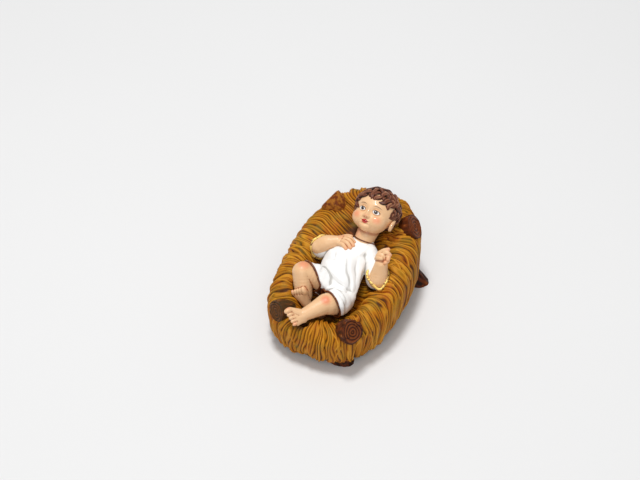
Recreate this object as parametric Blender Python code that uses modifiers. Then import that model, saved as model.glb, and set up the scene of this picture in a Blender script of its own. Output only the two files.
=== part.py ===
"""A small painted cast-resin infant lying in a straw manger on crossed logs, for a nativity scene.

Two castings: "crib" (the straw nest with its log ends and log feet) and "baby" (the figure laid in it).
Metres, +Z up, +X to the figure's left, +Y towards the figure's head, origin on the ground under the middle.
"""

import math
from math import cos, pi, sin, sqrt

import bmesh
import bpy
import numpy as np
from mathutils import Matrix, Vector

# Driving sizes, in metres.
FIGURE_LENGTH = 0.066          # toes to crown, along the bed
FIGURE_CLEARANCE = 0.0005      # room left between the figure and the straw that it is laid in
NEST_HALF_LENGTH = 0.0395      # straw outline, middle to head end
NEST_HALF_WIDTH = 0.0265       # straw outline, middle to side
NEST_SHIFT = -0.0005           # the nest bulges a little more on the figure's right
ROLL_WIDTH = 0.0150            # width of the straw roll that makes the rim
RIM_HEIGHT_FOOT = 0.0185       # top of the rim above the ground at the foot end
RIM_HEIGHT_HEAD = 0.0335       # top of the rim above the ground at the head end
LIP_HEIGHT = 0.0030            # gap between the ground and the straw's lower edge
BELLY_HEIGHT = 0.0036          # gap between the ground and the nest's underside
STRAND_DEPTH = 0.0011          # depth of the furrows between bundles of straw
STRANDS = 42                   # bundles of straw around the rim
LOG_RADIUS = 0.0049            # half the thickness of the round wood
LOG_LENGTH = 0.0100            # length of a log end, with the part that the straw closes over
RING_DEPTH = 0.00035           # depth of the growth rings on a log end
FOOT_RADIUS = 0.0046           # half the thickness of a log foot
LOG_SIDES = 12                 # faces round a log
SAWING_SPARE = 1.1             # a foot goes this share deeper than the level cut at the ground needs
FOOT_LENGTH = 0.0110           # length of a log foot above the ground, with the part that the straw holds

# Fineness of the modelled surfaces.
OUTLINE_POWER_FOOT = 2.9       # 2 is an ellipse, more is squarer
OUTLINE_POWER_HEAD = 2.3
FOOT_SQUEEZE = 0.055           # how much the outline is drawn in at the figure's left foot
SPINE_SHARE = 0.60            # how much of the length the nest's spine takes up
SECTION_ROWS = 18              # rows of faces across the straw section
FIGURE_UNIT = FIGURE_LENGTH / 66.0   # the figure is laid out in 66ths of its length
CLAY_VOXEL = 0.50 * FIGURE_UNIT
CLAY_SMOOTHING = 3
FIGURE_FACE_SHARE = 0.083      # share of the clay's triangles that the figure keeps
CLEARANCE_FACE_SHARE = 0.080

NAMES = ("manger_figurine", "helpers", "log_ends")


def new_collection(name):
    made = bpy.data.collections.new(name)
    bpy.context.scene.collection.children.link(made)
    return made


def add_object(name, mesh, collection, helper=False):
    made = bpy.data.objects.new(name, mesh)
    collection.objects.link(made)
    if helper:
        made.hide_render = True
        made.display_type = "WIRE"
    return made


def material(name, colour, roughness):
    made = bpy.data.materials.new(name)
    made.use_nodes = True
    shader = made.node_tree.nodes["Principled BSDF"]
    shader.inputs["Base Color"].default_value = (*colour, 1.0)
    shader.inputs["Roughness"].default_value = roughness
    shader.inputs["Metallic"].default_value = 0.0
    return made


# The straw nest

def outline(angle):
    """A point of the straw's outline in plan, on a superellipse; angle 0 is the figure's left side."""
    c, s = cos(angle), sin(angle)
    power = 2.0 / (OUTLINE_POWER_HEAD if s > 0 else OUTLINE_POWER_FOOT)
    drawn_in = 1 - FOOT_SQUEEZE * (2 * max(c, 0) * max(-s, 0)) ** 2
    x = NEST_SHIFT + NEST_HALF_WIDTH * drawn_in * math.copysign(abs(c) ** power, c)
    y = NEST_HALF_LENGTH * math.copysign(abs(s) ** power, s)
    return Vector((x, y))


def rim_height(y):
    """The rim climbs evenly from the foot end to the head end."""
    share = 0.5 + 0.5 * y / NEST_HALF_LENGTH
    return RIM_HEIGHT_FOOT + (RIM_HEIGHT_HEAD - RIM_HEIGHT_FOOT) * share


def bed_height(y):
    """The straw under the figure follows the underside of its trunk and head."""
    rows = [(s[1], s[2] - s[4]) for s in TRUNK]
    rows.append((SKULL[1], SKULL[2] - SKULL_DEPTH))
    lengths = [FIGURE_UNIT * row[0] for row in rows]
    heights = [FIGURE_UNIT * row[1] - FIGURE_CLEARANCE for row in rows]
    return float(np.interp(y, lengths, heights))


def smooth_through(points, count):
    """Points evenly spread along a Catmull-Rom curve through the given (r, z) points."""
    p = np.array([points[0], *points, points[-1]], float)
    t = np.linspace(0, len(points) - 1 - 1e-9, count)
    i = t.astype(int)
    f = (t - i)[:, None]
    a, b, c, d = p[i], p[i + 1], p[i + 2], p[i + 3]
    return 0.5 * (2 * b + (c - a) * f + (2 * a - 5 * b + 4 * c - d) * f**2 + (3 * b - a - 3 * c + d) * f**3)


def straw_section(angle):
    """(points, furrow weights) of the nest's section at an angle: bed, inner wall, roll, outer wall, underside."""
    edge = outline(angle)
    spine = Vector((0.0, SPINE_SHARE * edge.y))
    reach = (edge - spine).length
    way = (edge - spine) / reach
    top = rim_height(edge.y)
    fall = top - LIP_HEIGHT
    inner = max(reach - ROLL_WIDTH, 0.12 * reach)
    foot_of_wall = min(bed_height((spine + way * inner).y) + 0.08 * fall, top - 0.04 * fall)
    middle = min(bed_height((spine + way * inner * 0.5).y), foot_of_wall)
    section = [
        (0.05 * inner, middle),
        (0.55 * inner, middle),
        (inner, foot_of_wall),
        (reach - 0.74 * ROLL_WIDTH, foot_of_wall + 0.70 * (top - foot_of_wall)),
        (reach - 0.50 * ROLL_WIDTH, top),
        (reach - 0.22 * ROLL_WIDTH, top - 0.05 * fall),
        (reach - 0.04 * ROLL_WIDTH, top - 0.20 * fall),
        (reach, top - 0.42 * fall),
        (reach - 0.04 * ROLL_WIDTH, top - 0.76 * fall),
        (reach - 0.18 * ROLL_WIDTH, LIP_HEIGHT),
        (reach - 0.36 * ROLL_WIDTH, LIP_HEIGHT + 0.03 * fall),
        (0.30 * reach, BELLY_HEIGHT),
    ]
    rows = smooth_through(section, SECTION_ROWS + 1)
    share = np.linspace(0, 1, SECTION_ROWS + 1)
    furrow = np.clip(np.minimum(share - 0.08, 0.86 - share) / 0.12, 0, 1)
    return spine, way, rows, furrow


def straw_nest():
    """A loft of sections round the nest; every second column is a furrow between bundles of straw."""
    bm = bmesh.new()
    columns = []
    for k in range(2 * STRANDS):
        angle = pi * k / STRANDS
        spine, way, rows, furrow = straw_section(angle)
        sunk = STRAND_DEPTH * (k % 2) * (0.75 + 0.25 * sin(5 * angle))
        centre_r, centre_z = np.mean(rows[4:-3], axis=0)
        column = []
        for (r, z), weight in zip(rows, furrow):
            out = Vector((r - centre_r, z - centre_z)).normalized() * sunk * weight
            spot = spine + way * (r - out.x)
            column.append(bm.verts.new((spot.x, spot.y, z - out.y)))
        columns.append(column)
    for k, column in enumerate(columns):
        after = columns[(k + 1) % len(columns)]
        for j in range(SECTION_ROWS):
            bm.faces.new((column[j], column[j + 1], after[j + 1], after[j]))
    bm.faces.new([column[0] for column in columns])
    bm.faces.new([column[-1] for column in reversed(columns)])
    bmesh.ops.triangulate(bm, faces=[f for f in bm.faces if len(f.verts) > 4])
    bmesh.ops.recalc_face_normals(bm, faces=bm.faces)
    mesh = bpy.data.meshes.new("crib")
    bm.to_mesh(mesh)
    bm.free()
    return mesh


# Upper log ends, each (share of the half width, share of the half length, height above the rim there
# in log radii, direction out of the straw, thickness in log radii).
LOG_ENDS = (
    (0.638, -0.839, 0.35, (0.80, -0.38, 0.46), 1.02),
    (-0.623, -0.878, 0.12, (-0.47, -0.83, 0.28), 0.90),
    (0.720, 0.630, -0.19, (0.81, 0.24, 0.53), 1.10),
    (-0.728, 0.590, 0.28, (-0.85, 0.16, 0.50), 1.00),
)
# Log feet, each (share of the half width and of the half length where its middle meets the ground,
# direction down out of the straw).
LOG_FEET = (
    (0.382, -0.766, (0.66, -0.10, -0.74)),
    (-0.330, -0.735, (-0.66, -0.10, -0.74)),
    (0.750, 0.597, (0.76, -0.08, -0.64)),
    (-0.750, 0.597, (-0.76, -0.08, -0.64)),
)


def add_log(name, end, way, mesh, length, collection):
    """A log that reaches back into the straw from the middle of its end."""
    axis = Vector(way).normalized()
    turned = axis.to_track_quat("Z", "X").to_matrix().to_4x4()
    made = add_object(name, mesh, collection, helper=True)
    made.matrix_world = Matrix.Translation(end - axis * length) @ turned
    return made


def log_end(name, across, along, above_rim, way, thickness, collection):
    """A log end turned about its axis, with two growth rings let into its sawn face; it closes to a round
    point inside the straw."""
    r = thickness * LOG_RADIUS
    profile = [
        (0.0, LOG_LENGTH),
        (0.30 * r, LOG_LENGTH),
        (0.40 * r, LOG_LENGTH - RING_DEPTH),
        (0.52 * r, LOG_LENGTH),
        (0.68 * r, LOG_LENGTH),
        (0.78 * r, LOG_LENGTH - RING_DEPTH),
        (0.94 * r, LOG_LENGTH),
        (r, LOG_LENGTH - 0.12 * r),
    ]
    profile += [(r * sqrt(1 - s * s), LOG_LENGTH * (1 - s)) for s in (0.32, 0.58, 0.80)]
    profile.append((0.0, 0.0))
    bm = bmesh.new()
    spots = [bm.verts.new((x, 0.0, z)) for x, z in profile]
    for a, b in zip(spots, spots[1:]):
        bm.edges.new((a, b))
    mesh = bpy.data.meshes.new(name)
    bm.to_mesh(mesh)
    bm.free()
    height = rim_height(along * NEST_HALF_LENGTH) + above_rim * LOG_RADIUS
    end = Vector((across * NEST_HALF_WIDTH, along * NEST_HALF_LENGTH, height))
    made = add_log(name, end, way, mesh, LOG_LENGTH, collection)
    turn = made.modifiers.new("turn", "SCREW")
    turn.steps = turn.render_steps = LOG_SIDES
    turn.use_merge_vertices = True
    turn.merge_threshold = 0.00002
    turn.use_normal_calculate = True


def log_foot(name, across, along, way, collection):
    """A log foot that runs down and out from under the nest and a little way into the ground, where it is
    sawn off later."""
    bm = bmesh.new()
    axis = Vector(way).normalized()
    sunk = SAWING_SPARE * FOOT_RADIUS * sqrt(1 - axis.z**2) / -axis.z
    length = FOOT_LENGTH + sunk
    bmesh.ops.create_cone(
        bm, cap_ends=True, segments=LOG_SIDES, radius1=0.95 * FOOT_RADIUS, radius2=FOOT_RADIUS, depth=length
    )
    bmesh.ops.translate(bm, vec=(0, 0, 0.5 * length), verts=bm.verts)
    mesh = bpy.data.meshes.new(name)
    bm.to_mesh(mesh)
    bm.free()
    end = Vector((across * NEST_HALF_WIDTH, along * NEST_HALF_LENGTH, 0.0)) + axis * sunk
    add_log(name, end, way, mesh, length, collection)


def boolean(target, name, operation, cutter=None, collection=None):
    modifier = target.modifiers.new(name, "BOOLEAN")
    modifier.operation = operation
    modifier.solver = "EXACT"
    if collection:
        modifier.operand_type = "COLLECTION"
        modifier.collection = collection
    else:
        modifier.object = cutter


def ground_block(collection):
    """Everything under the ground, to saw the feet off flat."""
    bm = bmesh.new()
    bmesh.ops.create_cube(bm, size=1.0)
    size = Vector((4 * NEST_HALF_WIDTH, 4 * NEST_HALF_LENGTH, 2 * FOOT_LENGTH))
    bmesh.ops.scale(bm, vec=size, verts=bm.verts)
    bmesh.ops.translate(bm, vec=(0, 0, -0.5 * size.z), verts=bm.verts)
    mesh = bpy.data.meshes.new("ground_block")
    bm.to_mesh(mesh)
    bm.free()
    return add_object("ground_block", mesh, collection, helper=True)


def build_crib(parts, helpers, logs, clearance):
    crib = add_object("crib", straw_nest(), parts)
    for k, (end, foot_end) in enumerate(zip(LOG_ENDS, LOG_FEET)):
        log_end(f"log_end_{k + 1}", *end, logs)
        log_foot(f"log_foot_{k + 1}", *foot_end, logs)
    boolean(crib, "logs", "UNION", collection=logs)
    boolean(crib, "ground", "DIFFERENCE", cutter=ground_block(helpers))
    boolean(crib, "bed", "DIFFERENCE", cutter=clearance)
    crib.data.materials.append(material("painted_straw", (0.48, 0.26, 0.05), 0.55))
    return crib


# The figure is laid out in figure units, from its right side (-x) to its left (+x), feet to head (+y).
# The trunk in its gown is (x, y, z, half width, half depth) from the seat to the collar.
TRUNK = (
    (2.2, -19.0, 17.6, 6.0, 5.2),
    (1.8, -15.5, 18.2, 7.1, 6.4),
    (0.2, -11.0, 20.2, 8.8, 6.8),
    (-0.7, -6.0, 22.4, 9.4, 6.7),
    (-0.5, -1.0, 24.4, 9.1, 6.4),
    (0.8, 3.6, 26.0, 8.0, 5.4),
    (2.4, 6.4, 27.0, 6.2, 4.5),
    (3.0, 8.2, 28.0, 5.2, 3.5),
)
TRUNK_DISC = 2.8                      # half length of each flattened mass of the trunk
SKULL = (4.0, 17.4, 37.5)
SKULL_DEPTH = 9.2
HEAD_SHARE = 1.01                     # size of the head against the masses below

# Limbs are (x, y, z, half thickness) from the trunk outwards.
NECK = ((2.4, 6.5, 26.6, 4.2), (3.2, 10.5, 31.0, 4.3), (3.8, 14.0, 34.0, 4.8))
RIGHT_SLEEVE = ((-5.6, 4.0, 26.6, 4.0), (-9.6, 2.6, 25.8, 4.0), (-12.8, 0.8, 25.2, 4.0))
RIGHT_FOREARM = ((-13.3, 0.2, 26.5, 3.5), (-10.4, 1.4, 28.9, 3.2), (-6.6, 2.7, 30.3, 2.3))
LEFT_SLEEVE = ((6.6, 5.0, 27.0, 3.9), (10.6, 1.2, 24.4, 4.0), (13.6, -2.4, 21.4, 4.4), (14.5, -3.4, 23.2, 4.6))
LEFT_FOREARM = ((14.7, -3.3, 23.0, 3.9), (15.1, -2.5, 27.0, 3.3), (15.2, -1.7, 30.2, 2.7))
RIGHT_THIGH = ((-3.4, -12.2, 19.6, 4.6), (-8.4, -13.8, 23.8, 4.4), (-13.2, -15.8, 27.0, 4.1))
RIGHT_SHIN = ((-13.4, -16.2, 27.0, 4.1), (-11.9, -18.6, 22.6, 3.9), (-10.3, -20.4, 18.2, 3.2))
LEFT_THIGH = ((4.2, -16.6, 18.6, 4.8), (3.6, -20.4, 20.2, 4.9), (2.0, -23.3, 21.8, 4.6))
LEFT_SHIN = ((1.0, -24.3, 22.2, 4.3), (-1.9, -28.6, 21.8, 3.3), (-5.0, -32.6, 21.0, 2.6))
RIGHT_THIGH_HEM = ((-2.6, -12.6, 19.2, 5.4), (-6.6, -13.4, 22.4, 5.3), (-10.0, -14.4, 24.8, 4.9))
LEFT_THIGH_HEM = ((4.2, -16.6, 18.6, 5.6), (4.3, -19.4, 19.6, 5.5), (3.6, -21.8, 20.6, 5.2))

# Feet are (heel, ankle, big toe, little toe).
RIGHT_FOOT = ((-8.4, -22.1, 17.0), (-9.9, -20.4, 18.4), (-9.4, -21.6, 23.2), (-14.0, -23.0, 21.2))
LEFT_FOOT = ((-4.2, -34.2, 19.7), (-4.6, -32.5, 21.0), (-10.5, -35.1, 24.7), (-5.8, -38.0, 20.0))
HEEL_HALF_WIDTH = 2.3
TOE_SPREAD = 0.6                      # the ball of the foot is this much wider to each side than the toes
TOE_SIZES = (1.50, 1.20, 1.10, 1.00, 0.92)
SOLE_SHARE = 0.80                     # how far the wedge of the foot reaches from the heel to the toes

# Fingers are (knuckle, middle joint, tip).
RIGHT_PALM = ((-5.0, 3.1, 30.9), (2.7, 2.8, 1.6))
RIGHT_FINGERS = (
    ((-3.6, 4.9, 31.7), (-1.6, 5.0, 32.0), (0.6, 4.2, 31.2)),
    ((-3.4, 3.6, 32.1), (-1.2, 3.4, 32.3), (1.0, 2.3, 31.4)),
    ((-3.6, 2.3, 31.9), (-1.6, 1.8, 32.1), (0.4, 0.7, 31.3)),
    ((-4.3, 1.1, 31.3), (-2.8, 0.6, 31.6), (-1.2, -0.3, 31.0)),
)
RIGHT_THUMB = ((-5.6, 5.2, 30.6), (-3.8, 6.4, 31.0), (-2.0, 6.8, 31.2))
LEFT_PALM = ((14.8, -0.4, 32.4), (2.8, 1.9, 2.9))
LEFT_FINGERS = (
    ((13.4, 0.4, 34.0), (15.1, 1.1, 35.5), (16.7, 1.8, 36.2)),
    ((14.8, 0.3, 34.4), (16.6, 0.6, 35.4), (18.0, 0.4, 34.9)),
    ((16.0, -0.2, 33.8), (17.6, -0.2, 34.3), (18.0, -1.4, 33.8)),
    ((16.6, -0.8, 32.6), (17.8, -1.1, 32.8), (17.2, -2.2, 32.4)),
)
LEFT_THUMB = ((12.8, -0.9, 31.8), (13.8, -1.9, 33.4), (15.4, -2.2, 34.0))
FINGER_SIZE = 0.98

# The head's own directions: towards its left ear, its crown and out of its face.
HEAD_LEFT = Vector((0.994, -0.095, 0.052)).normalized()
HEAD_UP = Vector((0.046, 0.804, 0.598)).normalized()
HEAD_OUT = HEAD_LEFT.cross(HEAD_UP).normalized()

# Masses of the head, ((left, up, out), (half width, half height, half depth)), from infant proportions.
HEAD_MASSES = (
    ((0.0, 1.6, -0.6), (8.7, 8.0, 8.8)),
    ((0.0, -3.0, 1.6), (7.2, 5.6, 6.2)),
    ((3.3, -3.6, 3.8), (3.9, 3.7, 3.9)),
    ((-3.3, -3.6, 3.8), (3.9, 3.7, 3.9)),
    ((0.0, -6.7, 4.6), (2.5, 2.0, 2.4)),
    ((0.0, -2.2, 8.3), (1.15, 0.95, 1.35)),
    ((0.0, -0.6, 7.9), (0.75, 2.0, 0.8)),
    ((0.0, -4.6, 7.4), (1.9, 0.9, 0.9)),
    ((8.5, -1.6, -0.9), (1.1, 2.3, 1.7)),
    ((-8.5, -1.6, -0.9), (1.1, 2.3, 1.7)),
)
HAIR_CAP = ((0.0, 2.2, -1.2), (9.0, 8.2, 8.9))
HAIR_ROWS = (7, 10, 12, 12, 11)       # locks in each row, from the crown down
LOCK_SIZE = (1.3, 2.3, 1.25)

# Folds of the gown seen from above: ((x, y) points along the fold, height, half width).
FOLDS = (
    (((2.4, -3.6), (3.6, -7.6), (6.0, -10.2), (7.4, -12.8), (8.4, -15.6)), 0.85, 1.1),
    (((7.6, 1.6), (7.4, -5.0), (8.2, -9.4), (9.0, -13.6), (9.2, -18.4)), 0.75, 1.0),
    (((-7.0, -7.4), (-3.0, -10.8), (1.2, -13.0), (5.6, -14.2)), 0.80, 1.1),
    (((-4.4, -18.2), (0.0, -17.9), (3.2, -17.0), (6.0, -16.4)), 0.75, 1.0),
    (((0.6, -18.8), (4.6, -20.0), (8.2, -21.6)), 0.75, 0.9),
    (((3.0, -20.4), (6.2, -22.2), (8.6, -24.4)), 0.65, 0.8),
    (((-7.6, -0.6), (-5.4, -3.4), (-4.2, -6.2)), 0.60, 1.0),
)


class Clay:
    """Rounded masses that are pressed together into one figure."""

    def __init__(self):
        self.places = []

    def ball(self, centre, radii, axes=None):
        """One rounded mass; axes are the directions of its three half sizes."""
        turn = Matrix(axes).transposed().to_4x4() if axes else Matrix.Identity(4)
        self.places.append(Matrix.Translation(centre) @ turn @ Matrix.Diagonal((*radii, 1.0)))

    def limb(self, joints, step=0.30):
        """A limb is a close row of balls along the smooth curve through its joints."""
        length = sum((Vector(b[:3]) - Vector(a[:3])).length for a, b in zip(joints, joints[1:]))
        thin = min(j[3] for j in joints)
        for x, y, z, size in smooth_through(joints, max(3, int(length / (step * thin)))):
            self.ball((x, y, z), (size, size, size))

    def trunk(self, stations):
        """The trunk is a row of flattened balls that nearly touch its next neighbours."""
        for x, y, z, wide, deep in smooth_through(stations, 40):
            self.ball((x, y, z), (wide, TRUNK_DISC, deep))

    def mesh(self):
        """All masses in one mesh, each a copy of the same round primitive."""
        bm = bmesh.new()
        bmesh.ops.create_uvsphere(bm, u_segments=20, v_segments=12, radius=FIGURE_UNIT)
        spots = np.array([[*v.co, FIGURE_UNIT] for v in bm.verts])
        faces = [[v.index for v in f.verts] for f in bm.faces]
        bm.free()
        places = np.concatenate([(spots @ np.array(m).T)[:, :3] for m in self.places])
        copies = [[v + k * len(spots) for v in f] for k in range(len(self.places)) for f in faces]
        made = bpy.data.meshes.new("clay")
        made.from_pydata(places.tolist(), [], copies)
        return made


def finger(clay, joints, size):
    clay.limb([(*joints[0], size), (*joints[1], 0.96 * size), (*joints[2], 0.84 * size)], 0.5)


def foot(clay, heel, ankle, big_toe, little_toe):
    """A wedge from the round heel to the row of toes."""
    heel, ankle, big, little = (Vector(p) for p in (heel, ankle, big_toe, little_toe))
    tips = (big + little) / 2
    across = (big - little).normalized()
    along = (tips - heel - across * (tips - heel).dot(across)).normalized()
    axes = (across, along, across.cross(along))
    half = (big - little).length / 2
    for k in range(13):
        s = k / 12
        wide = HEEL_HALF_WIDTH + (half + TOE_SPREAD - HEEL_HALF_WIDTH) * s**1.3
        clay.ball(heel.lerp(tips, SOLE_SHARE * s), (wide, 1.8 - 0.6 * s, 2.3 - 1.0 * s), axes)
    for k in range(7):
        instep = ankle.lerp(heel.lerp(tips, 0.45), k / 6)
        clay.ball(instep, (2.5 - 0.1 * k, 2.4 - 0.1 * k, 2.3 - 0.1 * k), axes)
    for k in range(9):
        s = k / 8
        clay.ball(ankle.lerp(big, 0.9 * s), (2.3 - 1.0 * s, 2.1 - 0.8 * s, 2.1 - 0.9 * s), axes)
    for k, size in enumerate(TOE_SIZES):
        spot = big.lerp(little, 0.07 + 0.86 * (k + 0.15 * (k > 0)) / 4.15) + along * (0.15 - 0.05 * k)
        clay.ball(spot, (size * 0.92, size * 1.25, size), axes)


def in_head(left, up, out):
    place = HEAD_LEFT * left + HEAD_UP * up + HEAD_OUT * out
    return Vector(SKULL) + HEAD_SHARE * place


def head(clay):
    axes = (HEAD_LEFT, HEAD_UP, HEAD_OUT)
    for place, radii in HEAD_MASSES:
        clay.ball(in_head(*place), Vector(radii) * HEAD_SHARE, axes)


def hair(clay):
    """Short locks that lie over a cap in rows round the crown and curl onto the forehead."""
    axes = (HEAD_LEFT, HEAD_UP, HEAD_OUT)
    (left, up, out), (wide, high, deep) = HAIR_CAP
    cap = Vector((wide - 0.1, high - 0.4, deep - 0.6)) * HEAD_SHARE
    clay.ball(in_head(left, up + 0.5, out - 0.7), cap, axes)
    for row, count in enumerate(HAIR_ROWS):
        down = 0.30 + 0.34 * row
        for k in range(count):
            turn = 2 * pi * (k + 0.5 * (row % 2)) / count
            face = max(0.0, -cos(turn))
            drop = down * (1 - 0.30 * face)
            way = Vector((sin(drop) * sin(turn), cos(drop), -sin(drop) * cos(turn)))
            spot = Vector((left + wide * way.x, up + high * way.y, out + deep * way.z))
            normal = (HEAD_LEFT * way.x + HEAD_UP * way.y + HEAD_OUT * way.z).normalized()
            swirl = 0.5 * sin(3 * turn + 1.3 * row)
            sweep = (HEAD_LEFT * cos(turn) + HEAD_OUT * sin(turn)) * (0.55 + swirl) - HEAD_UP
            along = (sweep - normal * sweep.dot(normal)).normalized()
            clay.ball(in_head(*spot), Vector(LOCK_SIZE) * HEAD_SHARE, (along.cross(normal), along, normal))


def fold_heights(points):
    """Height of the gown's folds at each point, from its distance to the fold lines in plan."""
    total = np.zeros(len(points))
    for line, height, half_width in FOLDS:
        near = np.full(len(points), 1e9)
        for a, b in zip(np.array(line[:-1]), np.array(line[1:])):
            share = np.clip(((points[:, :2] - a) @ (b - a)) / ((b - a) @ (b - a)), 0, 1)
            near = np.minimum(near, np.linalg.norm(points[:, :2] - a - share[:, None] * (b - a), axis=1))
        total = np.maximum(total, height * np.exp(-((near / half_width) ** 2)))
    return total


def gown_share(points):
    """1 on the front of the gown and 0 on bare skin, hair and the underside."""
    stations = smooth_through(TRUNK, 40)
    nearest = stations[np.abs(points[:, 1][:, None] - stations[:, 1]).argmin(axis=1)]
    aside = np.abs(points[:, 0] - nearest[:, 0]) / nearest[:, 3]
    above = points[:, 2] - nearest[:, 2]
    front = np.clip(above / 1.5, 0, 1) * np.clip((nearest[:, 4] + 1.4 - above) / 0.8, 0, 1)
    return front * np.clip((1.15 - aside) / 0.15, 0, 1) * np.clip((9.0 - points[:, 1]) / 1.5, 0, 1)


def clay_mesh():
    """All masses of the figure run together."""
    clay = Clay()
    clay.trunk(TRUNK)
    for joints in (NECK, RIGHT_SLEEVE, RIGHT_FOREARM, LEFT_SLEEVE, LEFT_FOREARM, RIGHT_THIGH, RIGHT_SHIN):
        clay.limb(joints)
    for joints in (LEFT_THIGH, LEFT_SHIN, RIGHT_THIGH_HEM, LEFT_THIGH_HEM):
        clay.limb(joints)
    for place in (RIGHT_FOOT, LEFT_FOOT):
        foot(clay, *place)
    clay.ball(*RIGHT_PALM)
    clay.ball(*LEFT_PALM)
    for joints in (*RIGHT_FINGERS, RIGHT_THUMB, *LEFT_FINGERS, LEFT_THUMB):
        finger(clay, joints, FINGER_SIZE)
    head(clay)
    hair(clay)
    return clay.mesh()


def evaluated(made):
    """A plain copy of an object's mesh with its modifiers applied."""
    graph = bpy.context.evaluated_depsgraph_get()
    return bpy.data.meshes.new_from_object(made.evaluated_get(graph))


def remesh(made, voxel, smoothing):
    fuse = made.modifiers.new("fuse", "REMESH")
    fuse.mode = "VOXEL"
    fuse.voxel_size = voxel
    soften = made.modifiers.new("soften", "SMOOTH")
    soften.factor = 0.5
    soften.iterations = smoothing


def push_out(mesh, distances):
    """Move every vertex along its normal."""
    count = len(mesh.vertices)
    places = np.empty(count * 3)
    normals = np.empty(count * 3)
    mesh.vertices.foreach_get("co", places)
    mesh.vertex_normals.foreach_get("vector", normals)
    moved = places.reshape(-1, 3) + normals.reshape(-1, 3) * np.reshape(distances, (-1, 1))
    mesh.vertices.foreach_set("co", moved.ravel())
    mesh.update()


def thin_out(made, share):
    fewer = made.modifiers.new("fewer", "DECIMATE")
    fewer.ratio = share
    fewer.use_collapse_triangulate = True


def build_figure(parts, helpers):
    rough = add_object("rough", clay_mesh(), helpers, helper=True)
    remesh(rough, CLAY_VOXEL, CLAY_SMOOTHING)
    clay = evaluated(rough)
    points = np.empty(len(clay.vertices) * 3)
    clay.vertices.foreach_get("co", points)
    points = points.reshape(-1, 3) / FIGURE_UNIT
    push_out(clay, FIGURE_UNIT * fold_heights(points) * gown_share(points))
    figure = add_object("baby", clay, parts)
    thin_out(figure, FIGURE_FACE_SHARE)
    figure.data.materials.append(material("painted_resin", (0.80, 0.62, 0.47), 0.45))
    grown = clay.copy()
    push_out(grown, FIGURE_CLEARANCE)
    clearance = add_object("clearance", grown, helpers, helper=True)
    remesh(clearance, 2 * CLAY_VOXEL, 2)
    thin_out(clearance, CLEARANCE_FACE_SHARE)
    bpy.data.objects.remove(rough)
    return figure, clearance


def main():
    for old in list(bpy.data.objects):
        bpy.data.objects.remove(old)
    parts, helpers, logs = (new_collection(name) for name in NAMES)
    figure, clearance = build_figure(parts, helpers)
    build_crib(parts, helpers, logs, clearance)


main()
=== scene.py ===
"""Painted resin infant lying in a straw manger on sawn logs: the looks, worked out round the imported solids.

Shapes are worked out in millimetres, +X to the figure's left, +Y towards its head and +Z up, and put into the
meshes in metres. The figure's own directions and tables are the same as its solid's.
"""

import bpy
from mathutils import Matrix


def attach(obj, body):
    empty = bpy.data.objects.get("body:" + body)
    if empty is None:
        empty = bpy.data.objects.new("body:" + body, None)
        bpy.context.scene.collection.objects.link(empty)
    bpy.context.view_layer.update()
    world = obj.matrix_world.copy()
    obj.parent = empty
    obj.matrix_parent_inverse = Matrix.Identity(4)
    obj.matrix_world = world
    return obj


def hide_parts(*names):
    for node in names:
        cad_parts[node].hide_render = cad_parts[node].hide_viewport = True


bl_info = {
    "name": "Manger figurine",
    "version": (1, 0, 0),
    "blender": (4, 5, 0),
    "location": "3D View > Sidebar > Manger",
    "description": "A painted infant in a straw manger, worked out from a few sizes and colours",
    "category": "Object",
}

import bpy
import numpy as np
from mathutils import Vector

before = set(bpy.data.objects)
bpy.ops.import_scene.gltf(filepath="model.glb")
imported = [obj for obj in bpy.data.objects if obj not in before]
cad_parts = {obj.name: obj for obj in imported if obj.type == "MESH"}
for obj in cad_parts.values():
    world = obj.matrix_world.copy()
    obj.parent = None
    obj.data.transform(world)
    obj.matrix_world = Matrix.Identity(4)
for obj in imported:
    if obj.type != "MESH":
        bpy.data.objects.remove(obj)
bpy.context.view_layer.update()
MM = 0.001


def linear(red, green, blue):
    """A colour that is given as it looks on a screen, 0 to 255, turned into amounts of light."""
    shares = np.array([red, green, blue]) / 255.0
    linear = np.where(shares < 0.04045, shares / 12.92, ((shares + 0.055) / 1.055) ** 2.4)
    return tuple(float(v) for v in linear)


# Sizes and colours

def length(name, description, default):
    return bpy.props.FloatProperty(
        name=name, description=description, default=default, min=0.0, unit="LENGTH", precision=5
    )


def amount(name, description, default):
    return bpy.props.FloatProperty(name=name, description=description, default=default)


def number(name, description, default):
    return bpy.props.IntProperty(name=name, description=description, default=default, min=1)


def colour(name, description, default):
    return bpy.props.FloatVectorProperty(
        name=name, description=description, default=linear(*default), subtype="COLOR", min=0.0, max=1.0
    )


class NestSettings(bpy.types.PropertyGroup):
    half_length: length("Half length", "Middle of the nest to its ends", 0.0395)
    half_width: length("Half width", "Middle of the nest to its sides", 0.0265)
    roll: length("Roll width", "Width of the roll of straw that makes the rim", 0.0150)
    rim_foot: length("Rim height, foot end", "Top of the rim above the ground at the foot end", 0.0185)
    rim_head: length("Rim height, head end", "Top of the rim above the ground at the head end", 0.0335)
    lip: length("Lip height", "Gap between the ground and the lower edge of the straw", 0.0030)
    bundles: number("Bundles", "Bundles of straw round the rim", 48)
    straws: number("Straws", "Straws round the rim", 150)
    bundle_depth: length("Bundle relief", "How far a bundle stands out", 0.00085)
    straw_depth: length("Straw relief", "How far a straw stands out", 0.00050)
    light: colour("Dry straw", "Paint on the crests of the straw", (214, 152, 44))
    mid: colour("Straw", "Main colour of the straw", (176, 112, 14))
    dark: colour("Straw wash", "Brown wash between the straws", (76, 38, 3))
    red: colour("Rust", "Reddish patches of the straw", (172, 84, 14))


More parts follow.
